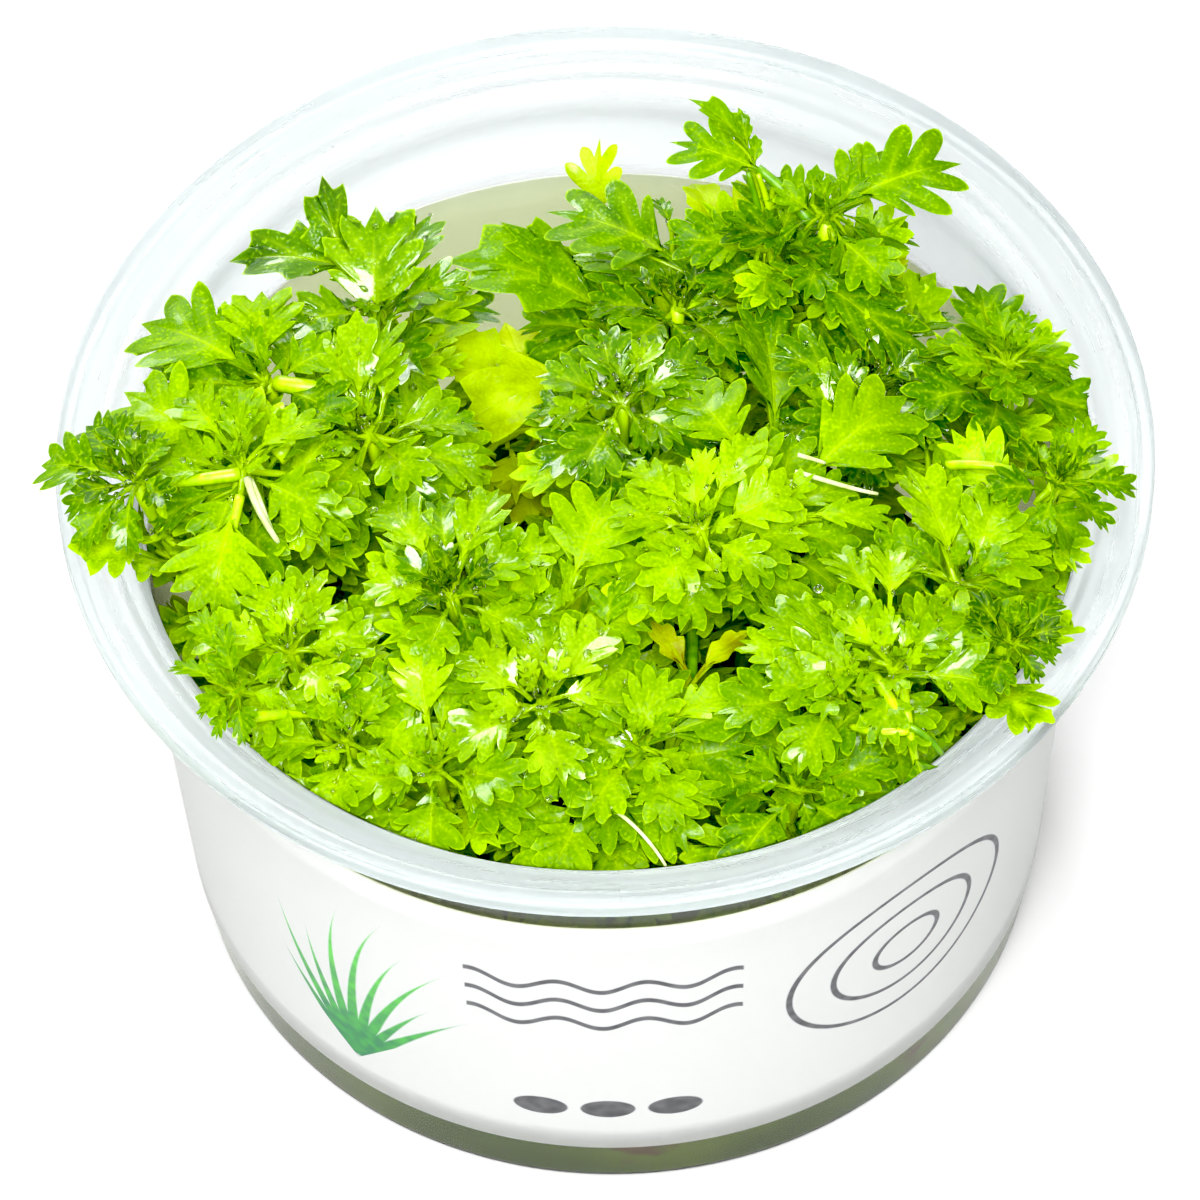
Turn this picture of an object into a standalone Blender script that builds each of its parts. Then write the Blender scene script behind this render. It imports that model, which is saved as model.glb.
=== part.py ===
"""Tissue culture water violet: leafy plantlets standing in nutrient gel, in a clear tub with a paper band.

The origin is the centre of the tub's flat underside, +Z is up and -Y is the front. Lengths in the
constants and tables are millimetres, and metres() turns them into the metres that the meshes hold.
"""

from dataclasses import dataclass
from math import atan2, cos, pi, radians, sin, sqrt

import bpy
from mathutils import Vector

# Tub
FLANGE_RADIUS = 52.5
TUB_HEIGHT = 64.7
SKIRT_HEIGHT = 2.4
OPENING_RADIUS = 47.3
OPENING_HEIGHT = 62.2
SKIRT = 0.9
FLANGE_EDGE = 0.4
LIP = 1.0
FOOT_RADIUS = 42.3
CORNER_RADIUS = 43.05
CORNER_HEIGHT = 0.9
WALL_SLOPE = 0.0487
WALL_TOP = 58.0
SHOULDER_RISE = 1.9
SHOULDER_STEP = 0.35
WALL = 0.85
FLOOR = 1.0
INNER_CORNER_HEIGHT = 2.4
INNER_CORNER = 1.6
SEGMENTS = 64

# Paper band and gel
BAND_FOOT = 7.0
BAND_TOP = 49.8
BAND_THICKNESS = 0.35
GEL_TOP = 12.0
GEL_EDGE = 1.0
GEL_CORNER = 2.8
GAP = 0.3

# Shoots
STEM_RADIUS = 1.05
STEM_SIDES = 6
STEM_POINTS = 6
STEM_SPREAD = 0.74
STEM_LEAD = 0.8
STEM_GAP = 0.4
CROWN_ROOT = 4.5
CROWN_HEART = 2.2
LEAN_OUT = 0.25
FULL_REACH = 10.5
RIM_REACH = 7.0
FILLER_REACH = 12.0
FILLER_DROOP = 24.0
LEAF_HALF_ANGLE = 18.0
MOST_OF_STEP = 0.36
LEAST_LEAF_ANGLE = 24.0
WIDEST_LEAF_ANGLE = 62.0
SHOULDER = 0.84
NOTCH = 0.5
RIDGE = 0.58
RIDGE_RISE = 11.0
KEEL_DROP = 16.0
RIM_CLEARANCE = 0.5
WALL_CLEARANCE = 0.5


@dataclass(frozen=True)
class Shoot:
    """One shoot: where its crown's heart is, and how far its leaf tips reach from there, in millimetres."""

    name: str
    heart: tuple[float, float, float]
    tips: tuple[tuple[float, float, float], ...]
    over_rim: bool = False
    own_stem: bool = True
    green: str = "leaf_bright"


SHOOTS = (
    Shoot(
        "far_left", (-45, -6, 70), green="leaf_dark", over_rim=True,
        tips=((-9, 4, -3), (-6, 7, -2), (-2, 8, 0), (3, 3, 2), (3, -3, 1), (-1, -6, -2), (-6, -3, -3)),
    ),
    Shoot(
        "upper_left", (-33, 9, 66), green="leaf_mid",
        tips=((-12, 7, -2), (-7, 11, -1), (-2, 9, 1), (3, 9, -1), (-5, 0, -3), (0, -7, 0), (6, 0, -3)),
    ),
    Shoot(
        "left_node", (-35, -3, 68),
        tips=((-11, 11, -2), (-6, 9, 0), (1, 5, 3), (-7, 1, -2), (-2, -12, -8), (7, -6, -6), (6, 4, -1)),
    ),
    Shoot(
        "back_left", (-22, 23, 62), green="leaf_mid",
        tips=((-15, 4, -2), (-6, 10, 3), (-1, 7, 3), (5, 7, 1), (-3, -2, -3), (5, 0, -2)),
    ),
    Shoot(
        "upright_left", (-23, 4, 64),
        tips=((0, 9, 6), (4, 7, 2), (11, 0, -1), (9, -6, -1), (-6, -4, -3), (-2, -11, -5), (3, -8, -2)),
    ),
    Shoot(
        "back_middle", (1, 19, 58), green="leaf_mid",
        tips=((-16, 9, 2), (-11, 11, 3), (-5, 10, 0), (-8, -3, -4), (3, -5, -3)),
    ),
    Shoot(
        "back_dark", (8, 19, 63), green="leaf_mid",
        tips=((-13, 8, 1), (-10, 12, 3), (-6, 11, 3), (-9, 0, -4), (-2, -5, -2), (3, -5, -2), (-2, 12, -1)),
    ),
    Shoot(
        "tall_back", (17, 22, 67), green="leaf_mid",
        tips=((-7, 10, 10), (-9, 6, 7), (-8, -2, 0), (-2, -5, -3), (-1, 12, -5), (14, -13, -5), (4, -7, -6)),
    ),
    Shoot(
        "back_right", (22, 22, 71), green="leaf_mid",
        tips=((13, 6, -1), (7, 9, 1), (-1, 4, 2), (7, 1, -3), (4, -3, -5), (-5, -3, -4), (-1, -4, -7)),
    ),
    Shoot(
        "right_upper", (39, 7, 66), green="leaf_mid",
        tips=((-5, 5, 0), (-2, 4, 1), (2, 4, 2), (4, 2, 1), (6, 0, -1), (3, -2, -4), (-9, -1, -4)),
    ),
    Shoot(
        "right_edge", (42, -10, 69), green="leaf_dark", over_rim=True,
        tips=((7, 0, -2), (3, 6, 1), (-1, 5, 1), (-4, 2, 0), (4, -2, -2), (-2, -5, -3), (1, -5, -3)),
    ),
    Shoot(
        "right_bright", (33, -18, 66),
        tips=((-4, 10, 4), (3, 9, 2), (8, 6, 0), (9, 3, -3), (6, -2, -3), (-4, -5, -3)),
    ),
    Shoot(
        "mid_right", (26, 7, 64), green="leaf_mid",
        tips=((-6, 1, 2), (-2, 3, 3), (6, 1, -1), (2, -7, -1), (-7, -4, -2), (8, 11, -4), (3, 18, -8)),
    ),
    Shoot(
        "centre_right", (16, -9, 67),
        tips=((11, -3, -1), (-3, -7, -6), (12, 14, -4), (-7, 14, -1), (-1, 6, 1), (5, 1, -2)),
    ),
    Shoot(
        "centre_wet", (2, 5, 66),
        tips=((-6, 4, -2), (-7, -1, -3), (-3, -4, -3), (7, 4, 0), (3, 6, 1), (2, -4, -3), (-2, 7, -1)),
    ),
    Shoot(
        "bright_star", (9, -14, 70),
        tips=((-7, 7, 0), (-7, 3, -1), (-7, -1, -3), (-3, -3, -4), (0, 8, 2), (5, 9, 2), (1, -4, -4)),
    ),
    Shoot(
        "dark_heart", (-15, -20, 69), green="leaf_dark",
        tips=(
            (5, 10, 2), (9, 6, 0), (-6, 13, -3), (-1, 11, -1),
            (-5, 6, -3), (-5, 0, -4), (2, -4, -5), (6, 0, -3),
        ),
    ),
    Shoot(
        "centre", (-5, -19, 65),
        tips=((5, 10, 4), (1, 9, 2), (7, 5, 1), (6, 1, 0), (-6, -2, -3), (4, -3, -3), (-2, -4, -4)),
    ),
    Shoot(
        "lower_left_small", (-35, -30, 69), green="leaf_mid", over_rim=True, own_stem=False,
        tips=((-6, 4, -2), (-5, -1, -2), (-3, -4, -2), (1, -5, -2), (4, -1, -2), (-3, 8, 0), (1, 6, 1)),
    ),
    Shoot(
        "lower_left_bright", (-30, -24, 66),
        tips=((-1, 4, 2), (3, 5, 3), (5, 4, 2), (6, -1, -1), (2, -5, -5), (-4, 1, 0)),
    ),
    Shoot(
        "lower_left", (-25, -32, 63),
        tips=((1, 8, 3), (5, 6, 2), (-3, -3, -4), (-7, 0, -2), (-4, 5, 1), (5, -3, -2), (2, -5, -4)),
    ),
    Shoot(
        "lower_left_upright", (-17, -35, 62),
        tips=((-1, 11, 5), (-4, 5, 1), (3, 9, 3), (4, 1, 1), (6, -4, -4), (-4, -2, -2), (0, -5, -4)),
    ),
    Shoot(
        "lower_glossy", (-7, -31, 66),
        tips=((-4, -2, -2), (-2, 4, 1), (2, 4, 1), (6, 1, 0), (5, -2, -3), (-1, -4, -3)),
    ),
    Shoot(
        "lower_centre", (2, -33, 63),
        tips=((-2, 4, 2), (2, 5, 4), (4, 4, 3), (13, 3, -1), (5, -2, -3), (-3, -1, -1)),
    ),
    Shoot(
        "lower_front", (-2, -38, 60),
        tips=(
            (-2, 3, 3), (3, 3, 3), (-5, 3, 2), (12, 0, 0),
            (-7, 0, 0), (-5, -3, -3), (2, -4, -3), (7, -3, -3),
        ),
    ),
    Shoot(
        "lower_right", (21, -30, 66),
        tips=((-8, 8, 1), (-4, 8, 2), (-9, 4, 0), (-5, 0, -2), (0, 7, 2), (1, -3, -4), (4, -2, -3)),
    ),
    Shoot(
        "right_cluster", (26, -29, 68), own_stem=False,
        tips=(
            (-5, 5, 0), (-2, 6, 3), (2, 5, 2), (-5, 13, -1),
            (0, 13, -1), (5, 3, -1), (7, -1, -4), (-5, 1, -1),
        ),
    ),
    Shoot(
        "right_low", (37, -27, 69), green="leaf_dark", over_rim=True,
        tips=((4, -1, -2), (2, -4, -2), (5, 2, -1), (-1, 5, 1), (-5, 1, 0), (4, 5, 0), (-2, -5, -2)),
    ),
    Shoot(
        "old_yellow", (-10, 8, 49), green="leaf_yellow", own_stem=False,
        tips=((-7, 6, 1), (0, 9, 2), (7, 5, 1), (8, -3, -1), (1, -8, -3), (-6, -5, -2)),
    ),
    Shoot(
        "front_right", (17, -37, 60), green="leaf_mid",
        tips=(
            (-2, 2, 3), (1, 3, 3), (4, 0, 2), (-5, 1, 0),
            (5, -2, -2), (-3, -4, -3), (8, 3, 0), (1, -4, -3),
        ),
    ),
)

MATERIALS = {
    "clear_plastic": ((0.86, 0.93, 0.91), 0.12),
    "paper": ((0.93, 0.93, 0.92), 0.45),
    "nutrient_gel": ((0.42, 0.50, 0.16), 0.25),
    "stem_green": ((0.50, 0.68, 0.05), 0.40),
    "leaf_bright": ((0.40, 0.68, 0.01), 0.35),
    "leaf_mid": ((0.18, 0.46, 0.01), 0.35),
    "leaf_dark": ((0.06, 0.27, 0.01), 0.35),
    "leaf_yellow": ((0.62, 0.62, 0.03), 0.45),
}


def metres(point):
    """A point in metres, from one in millimetres."""
    return Vector(point) / 1000


def material(name):
    """The named material, made on first use."""
    found = bpy.data.materials.get(name)
    if found:
        return found
    colour, roughness = MATERIALS[name]
    made = bpy.data.materials.new(name)
    made.use_nodes = True
    made.diffuse_color = (*colour, 1)
    shader = made.node_tree.nodes["Principled BSDF"]
    shader.inputs["Base Color"].default_value = (*colour, 1)
    shader.inputs["Roughness"].default_value = roughness
    shader.inputs["Metallic"].default_value = 0.0
    return made


def add_object(name, points, faces, finish, sharp_angle=radians(35)):
    """A mesh object from points in millimetres."""
    mesh = bpy.data.meshes.new(name)
    mesh.from_pydata([metres(p) for p in points], [], faces)
    mesh.materials.append(material(finish))
    mesh.shade_smooth()
    mesh.set_sharp_from_angle(angle=sharp_angle)
    made = bpy.data.objects.new(name, mesh)
    bpy.context.scene.collection.objects.link(made)
    return made


def turned(name, profile, finish, closed):
    """A solid turned round Z from (radius, height) points that go up its outer side and down its inner side.

    A closed profile makes a ring. An open one starts and ends on the axis, where it gets a single point.
    """
    points, rings = [], []
    for radius, height in profile:
        if radius == 0:
            rings.append([len(points)] * SEGMENTS)
            points.append((0, 0, height))
            continue
        rings.append([len(points) + k for k in range(SEGMENTS)])
        for k in range(SEGMENTS):
            turn = 2 * pi * k / SEGMENTS
            points.append((radius * cos(turn), radius * sin(turn), height))
    pairs = list(zip(rings, rings[1:]))
    if closed:
        pairs.append((rings[-1], rings[0]))
    faces = []
    for low, high in pairs:
        for k in range(SEGMENTS):
            after = (k + 1) % SEGMENTS
            corners = [low[k], low[after], high[after], high[k]]
            faces.append([c for i, c in enumerate(corners) if c != corners[i - 1]])
    return add_object(name, points, faces, finish)


def wall_outside(height):
    """Outer radius of the wall at a height."""
    return CORNER_RADIUS + WALL_SLOPE * (height - CORNER_HEIGHT)


def wall_inside(height):
    """Inner radius of the wall at a height."""
    return wall_outside(height) - WALL


def make_cup():
    """The tub: flat foot, small corner, tapered wall, shoulder, sloped flange and skirt, then the inside."""
    skirt_foot = TUB_HEIGHT - SKIRT_HEIGHT
    skirt_inside = FLANGE_RADIUS - SKIRT
    shoulder_height = WALL_TOP + SHOULDER_RISE
    inner_corner = wall_inside(INNER_CORNER_HEIGHT)
    outside = [
        (0, 0),
        (FOOT_RADIUS, 0),
        ((FOOT_RADIUS + 3 * CORNER_RADIUS) / 4, CORNER_HEIGHT / 3),
        (CORNER_RADIUS, CORNER_HEIGHT),
        (wall_outside(WALL_TOP), WALL_TOP),
        (wall_outside(WALL_TOP) + SHOULDER_STEP, shoulder_height),
        (OPENING_RADIUS - LIP / 10, OPENING_HEIGHT - LIP),
    ]
    flange = [
        (skirt_inside, TUB_HEIGHT - 1.5 * LIP),
        (skirt_inside, skirt_foot),
        (FLANGE_RADIUS, skirt_foot),
        (FLANGE_RADIUS, TUB_HEIGHT - FLANGE_EDGE),
        (FLANGE_RADIUS - FLANGE_EDGE, TUB_HEIGHT),
        (OPENING_RADIUS + 0.8 * LIP, OPENING_HEIGHT + 0.45 * LIP),
        (OPENING_RADIUS, OPENING_HEIGHT),
    ]
    inside = [
        (OPENING_RADIUS - LIP, OPENING_HEIGHT - 1.6 * LIP),
        (wall_inside(WALL_TOP) + SHOULDER_STEP / 2, WALL_TOP + LIP),
        (wall_inside(WALL_TOP - 2 * LIP), WALL_TOP - 2 * LIP),
        (inner_corner, INNER_CORNER_HEIGHT),
        (inner_corner - 0.3 * INNER_CORNER, (FLOOR + INNER_CORNER_HEIGHT) / 2),
        (inner_corner - INNER_CORNER, FLOOR),
        (0, FLOOR),
    ]
    return turned("cup", outside + flange + inside, "clear_plastic", closed=False)


def make_label():
    """The paper band: a closed sleeve that follows the wall's taper."""
    inner_foot, inner_top = wall_outside(BAND_FOOT) + GAP, wall_outside(BAND_TOP) + GAP
    profile = [
        (inner_foot + BAND_THICKNESS, BAND_FOOT),
        (inner_top + BAND_THICKNESS, BAND_TOP),
        (inner_top, BAND_TOP),
        (inner_foot, BAND_FOOT),
    ]
    return turned("label", profile, "paper", closed=True)


def make_gel():
    """The gel: it fills the base up to a faint raised edge where it meets the wall."""
    foot = FLOOR + GAP
    middle = GEL_TOP - GEL_EDGE / 2
    profile = [
        (0, foot),
        (wall_inside(foot) - INNER_CORNER - GAP, foot),
        (wall_inside(GEL_CORNER) - GAP, GEL_CORNER),
        (wall_inside(GEL_TOP) - GAP, GEL_TOP),
        (wall_inside(GEL_TOP) - GAP - GEL_EDGE, middle),
        (0, middle),
    ]
    return turned("gel", profile, "nutrient_gel", closed=False)


def crown_axis(shoot):
    """The way a crown faces: up, and a little away from the middle of the tub."""
    heart = Vector(shoot.heart)
    outward = Vector((heart.x, heart.y, 0)) / OPENING_RADIUS
    return (Vector((0, 0, 1)) + outward * LEAN_OUT).normalized()


def crown_foot(shoot):
    """The lowest point of a crown, where its leaf bases close on the stem."""
    foot = Vector(shoot.heart) - crown_axis(shoot) * CROWN_ROOT
    if shoot.over_rim:
        foot.z = TUB_HEIGHT + RIM_CLEARANCE
    return foot


def stem_route(shoot):
    """Points down the middle of a stem, on a smooth curve from the gel to the crown."""
    top = crown_foot(shoot) - crown_axis(shoot) * STEM_GAP
    foot = Vector((top.x * STEM_SPREAD, top.y * STEM_SPREAD, GEL_TOP - GEL_EDGE / 2 + GAP))
    reach = (top.z - foot.z) / 2
    handles = (foot, foot + Vector((0, 0, reach)), top - crown_axis(shoot) * reach * STEM_LEAD, top)
    route = []
    for k in range(STEM_POINTS):
        t = k / (STEM_POINTS - 1)
        shares = ((1 - t) ** 3, 3 * t * (1 - t) ** 2, 3 * t * t * (1 - t), t**3)
        route.append(sum((h * s for h, s in zip(handles, shares)), Vector()))
    return route


def make_stem(shoot):
    """A stem: a round tube along its route, with filled caps."""
    curve = bpy.data.curves.new("stem_" + shoot.name, "CURVE")
    curve.dimensions = "3D"
    curve.bevel_depth = STEM_RADIUS / 1000
    curve.bevel_resolution = STEM_SIDES // 2 - 2
    curve.use_fill_caps = True
    spline = curve.splines.new("POLY")
    route = stem_route(shoot)
    spline.points.add(len(route) - 1)
    for point, place in zip(spline.points, route):
        point.co = (*metres(place), 1)
    curve.materials.append(material("stem_green"))
    made = bpy.data.objects.new(curve.name, curve)
    bpy.context.scene.collection.objects.link(made)
    return made


def closest_on(start, end, point):
    """The point of a straight run that is nearest to another point."""
    along = end - start
    share = (point - start).dot(along) / along.length_squared
    return start + along * min(1.0, max(0.0, share))


def reach_of(shoot):
    """Mean length of a crown's leaves."""
    return sum(Vector(t).length for t in shoot.tips) / len(shoot.tips)


def walls_between(shoot):
    """Flat walls (outward direction, distance from the heart) that a crown stays inside.

    They part it from every other crown, from the stems, and from the tub.
    """
    heart, found = Vector(shoot.heart), []
    for other in SHOOTS:
        if other is not shoot:
            across = Vector(other.heart) - heart
            share = reach_of(shoot) / (reach_of(shoot) + reach_of(other))
            found.append((across.normalized(), across.length * share - GAP / 2))
            if other.own_stem:
                route = stem_route(other)
                for start, end in zip(route, route[1:]):
                    across = closest_on(start, end, heart) - heart
                    found.append((across.normalized(), across.length - STEM_RADIUS - GAP))
    foot = crown_foot(shoot)
    down = -crown_axis(shoot)
    found.append((down, (foot - heart).dot(down)))
    if shoot.over_rim:
        found.append((Vector((0, 0, -1)), heart.z - TUB_HEIGHT - RIM_CLEARANCE))
        return found
    upright = 1 / sqrt(1 + WALL_SLOPE**2)
    for k in range(SEGMENTS):
        turn = 2 * pi * (k + 0.5) / SEGMENTS
        outward = Vector((cos(turn), sin(turn), -WALL_SLOPE)) * upright
        room = (wall_inside(0) - WALL_CLEARANCE) * cos(pi / SEGMENTS) * upright
        found.append((outward, room - heart.dot(outward)))
    return found


def held_in(offset, walls):
    """An offset from a crown's heart, shortened until it is inside every wall."""
    share = 1.0
    for outward, room in walls:
        toward = offset.dot(outward)
        if toward > 0:
            share = min(share, room / toward)
    return offset * share


class CrownFrame:
    """Directions round a crown's axis, to read an offset as (turn, rise, length) and to write it back."""

    def __init__(self, axis):
        self.axis = axis
        self.side = Vector((1, 0, 0)) - axis * axis.x
        self.side.normalize()
        self.front = axis.cross(self.side)

    def read(self, offset):
        """An offset's turn round the axis, its rise above square to it, and its length."""
        across = sqrt(offset.dot(self.side) ** 2 + offset.dot(self.front) ** 2)
        turn = atan2(offset.dot(self.front), offset.dot(self.side))
        return turn, atan2(offset.dot(self.axis), across), offset.length

    def write(self, turn, rise, length):
        """The offset with a turn, a rise and a length."""
        flat = self.side * cos(turn) + self.front * sin(turn)
        return (flat * cos(rise) + self.axis * sin(rise)) * length


def spread_leaves(shoot, frame):
    """The crown's leaves as (turn, rise, length), in order round the axis.

    Leaves closer together than a leaf's width count as the longer one, and older, drooping leaves
    fill the wide gaps.
    """
    least = RIM_REACH if shoot.over_rim else FULL_REACH
    read = sorted(frame.read(Vector(t)) for t in shoot.tips)
    kept = []
    for turn, rise, length in read:
        leaf = (turn, rise, max(length, least))
        if kept and turn - kept[-1][0] < radians(LEAST_LEAF_ANGLE):
            kept[-1] = max(kept[-1], leaf, key=lambda l: l[2])
        else:
            kept.append(leaf)
    full = []
    for k, leaf in enumerate(kept):
        full.append(leaf)
        gap = (kept[(k + 1) % len(kept)][0] - leaf[0]) % (2 * pi)
        extra = int(gap / radians(WIDEST_LEAF_ANGLE))
        reach = RIM_REACH if shoot.over_rim else FILLER_REACH
        for n in range(extra):
            full.append((leaf[0] + gap * (n + 1) / (extra + 1), -radians(FILLER_DROOP), reach))
    return full


def make_crown(shoot):
    """A crown: one closed body whose lobes are its leaves, thick at the heart and thin at the tips."""
    frame = CrownFrame(crown_axis(shoot))
    walls = walls_between(shoot)
    leaves = spread_leaves(shoot, frame)
    heart = Vector(shoot.heart)
    points = [
        heart + held_in(frame.axis * CROWN_HEART, walls),
        crown_foot(shoot),
    ]
    faces = []
    rims = []
    for k, (turn, rise, length) in enumerate(leaves):
        next_turn, next_rise, next_length = leaves[(k + 1) % len(leaves)]
        step = (next_turn - turn) % (2 * pi)
        previous_step = (turn - leaves[k - 1][0]) % (2 * pi)
        half = min(radians(LEAF_HALF_ANGLE), MOST_OF_STEP * step, MOST_OF_STEP * previous_step)
        offsets = [
            frame.write(turn - half, rise, length * SHOULDER),
            frame.write(turn, rise, length),
            frame.write(turn + half, rise, length * SHOULDER),
            frame.write(turn + step / 2, (rise + next_rise) / 2, min(length, next_length) * NOTCH),
            frame.write(turn, rise + radians(RIDGE_RISE), length * RIDGE),
            frame.write(turn, rise - radians(KEEL_DROP), length * RIDGE),
        ]
        start = len(points)
        points += [heart + held_in(o, walls) for o in offsets]
        rims.append(start)
    for k, start in enumerate(rims):
        left, tip, right, notch, ridge, keel = range(start, start + 6)
        notch_before = rims[k - 1] + 3
        edge = [notch_before, left, tip, right, notch]
        for first, second in zip(edge, edge[1:]):
            faces.append((first, second, ridge))
            faces.append((second, first, keel))
        faces += [(notch_before, ridge, 0), (ridge, notch, 0)]
        faces += [(keel, notch_before, 1), (notch, keel, 1)]
    return add_object("crown_" + shoot.name, points, faces, shoot.green)


def main():
    """Clears the scene and makes every piece."""
    for old in list(bpy.data.objects):
        bpy.data.objects.remove(old, do_unlink=True)
    make_cup()
    make_label()
    make_gel()
    for shoot in SHOOTS:
        make_crown(shoot)
        if shoot.own_stem:
            make_stem(shoot)


main()
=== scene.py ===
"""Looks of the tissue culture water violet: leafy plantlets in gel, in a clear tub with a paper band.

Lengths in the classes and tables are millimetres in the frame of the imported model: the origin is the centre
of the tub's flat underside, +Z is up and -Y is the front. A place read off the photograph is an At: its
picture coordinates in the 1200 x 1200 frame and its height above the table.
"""

import logging
from collections.abc import Sequence
from dataclasses import dataclass, field
from enum import Enum
from math import comb, cos, pi, radians, sin

import bpy
import numpy as np
from bpy.types import ColorRamp, Material, Node, NodeSocket, Object
from mathutils import Matrix, Vector


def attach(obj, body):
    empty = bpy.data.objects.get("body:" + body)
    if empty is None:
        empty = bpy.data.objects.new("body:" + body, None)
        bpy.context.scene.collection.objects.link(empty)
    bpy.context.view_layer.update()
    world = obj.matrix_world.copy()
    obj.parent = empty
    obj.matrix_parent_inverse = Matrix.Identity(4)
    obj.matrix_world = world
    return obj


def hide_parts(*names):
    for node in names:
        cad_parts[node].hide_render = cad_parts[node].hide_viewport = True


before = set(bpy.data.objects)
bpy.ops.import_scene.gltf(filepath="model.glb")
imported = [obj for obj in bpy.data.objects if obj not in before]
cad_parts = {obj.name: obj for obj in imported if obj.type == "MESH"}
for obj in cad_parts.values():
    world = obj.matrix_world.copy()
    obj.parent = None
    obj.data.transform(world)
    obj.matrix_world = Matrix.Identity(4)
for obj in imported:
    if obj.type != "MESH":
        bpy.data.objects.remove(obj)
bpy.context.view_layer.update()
LOG = logging.getLogger("water_violet")

Array = np.ndarray
Pair = tuple[float, float]
Triple = tuple[float, float, float]

MM = 0.001
BODY = "root"

TUB_TOP = 64.7
OPENING_RADIUS = 47.3
OPENING_HEIGHT = 62.2
WALL_FOOT_RADIUS = 43.05
WALL_FOOT_HEIGHT = 0.9
WALL_SLOPE = 0.0487
WALL_TOP = 58.0
WALL = 0.85
FLANGE_SLOPE = 1.92
GEL_SURFACE = 11.5
CLEARANCE = 0.4
ABOVE_GEL = 0.3
NO_LIMIT = 1000.0
GOLDEN_TURN = radians(137.5)
NEARLY_NOTHING = 1e-9


def wall_outside(height: float) -> float:
    """Outer radius of the tub's wall at a height."""
    return WALL_FOOT_RADIUS + WALL_SLOPE * (height - WALL_FOOT_HEIGHT)


def unit(vector: Array) -> Array:
    """The same direction with length 1."""
    return vector / max(np.linalg.norm(vector), NEARLY_NOTHING)


def bezier(handles: Sequence[Array], count: int) -> Array:
    """Points along a Bezier curve.

    Args:
        handles: the curve's control points.
        count: how many points to give.

    Returns:
        The points as a count x 3 array.
    """
    share = np.linspace(0, 1, count)[:, None]
    order = len(handles) - 1
    return sum(comb(order, k) * (1 - share) ** (order - k) * share**k * h for k, h in enumerate(handles))


@dataclass(frozen=True)
class PhotoCamera:
    """The camera that took the photograph, as fitted to the tub's rings."""

    distance: float = 630.0
    elevation: float = 54.29
    roll: float = 1.94
    aim: Triple = (-0.945, 0.0, 38.85)
    focal_pixels: float = 6377.0
    frame_pixels: float = 1200.0
    sensor_width: float = 36.0

    def axes(self) -> tuple[Array, Array, Array]:
        """The camera's right, up and back directions."""
        tilt, roll = radians(self.elevation), radians(self.roll)
        back = np.array([0, -cos(tilt), sin(tilt)])
        level, above = np.array([1.0, 0, 0]), np.array([0, sin(tilt), cos(tilt)])
        right = cos(roll) * level - sin(roll) * above
        return right, np.cross(back, right), back

    def centre(self) -> Array:
        """Where the camera stands."""
        return np.array(self.aim) + self.axes()[2] * self.distance

    def place(self, x: float, y: float, height: float) -> Array:
        """The point at a height that the photograph shows at a picture place.

        Args:
            x: picture column, in pixels of the 1200 frame.
            y: picture row, in pixels of the 1200 frame.
            height: height above the table.

        Returns:
            The point.
        """
        right, up, back = self.axes()
        half = self.frame_pixels / 2
        ray = right * (x - half) / self.focal_pixels - up * (y - half) / self.focal_pixels - back
        start = self.centre()
        return start + ray * (height - start[2]) / ray[2]

    def make(self) -> None:
        """Adds the camera to the scene and makes it the scene's camera."""
        data = bpy.data.cameras.new("photo_camera")
        data.sensor_fit = "HORIZONTAL"
        data.sensor_width = self.sensor_width
        data.lens = self.focal_pixels / self.frame_pixels * self.sensor_width
        data.clip_start = 0.01
        made = bpy.data.objects.new("photo_camera", data)
        turn = Matrix([Vector(axis) for axis in self.axes()]).transposed().to_4x4()
        made.matrix_world = Matrix.Translation(Vector(self.centre()) * MM) @ turn
        bpy.context.scene.collection.objects.link(made)
        bpy.context.scene.camera = made


CAMERA = PhotoCamera()


@dataclass(frozen=True)
class At:
    """A place read off the photograph, with its height above the table."""

    x: float
    y: float
    height: float

    def point(self) -> Array:
        """The place as a point of the model."""
        return CAMERA.place(self.x, self.y, self.height)


class Tone(Enum):
    """How light a leaf's green is, from 0 to 1, and how far it has yellowed; the darkest, given to the hearts
    of crowns, is painted shade.
    """

    SHADED_HEART = (0.06, 0.0)
    DARK = (0.27, 0.0)
    MID = (0.46, 0.0)
    BRIGHT = (0.72, 0.0)
    PALE = (0.86, 0.15)
    LEMON = (0.9, 0.5)
    YELLOW = (0.8, 0.8)
    BROWN = (0.5, 0.75)


SLOT_OF_TONE = {
    Tone.SHADED_HEART: "leaf_dark",
    Tone.DARK: "leaf_dark",
    Tone.MID: "leaf_mid",
    Tone.BRIGHT: "leaf_bright",
    Tone.PALE: "leaf_bright",
    Tone.LEMON: "leaf_yellow",
    Tone.YELLOW: "leaf_yellow",
    Tone.BROWN: "leaf_yellow",
}


@dataclass(frozen=True)
class LobePlan:
    """How a blade is cut, on a blade of length 1: one entry in each tuple for each lobe of a side.

    Depth is the notches' distance from the midrib as a share of the tips', bulge is how round the lobes
    are, blunt how far from the tip their rounding starts, and teeth the share of lobes with side teeth.
    """

    roots: tuple[float, ...]
    tips: tuple[float, ...]
    spans: tuple[float, ...]
    depth: float
    bulge: float = 1.0
    blunt: float = 0.42
    teeth: float = 0.5


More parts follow.
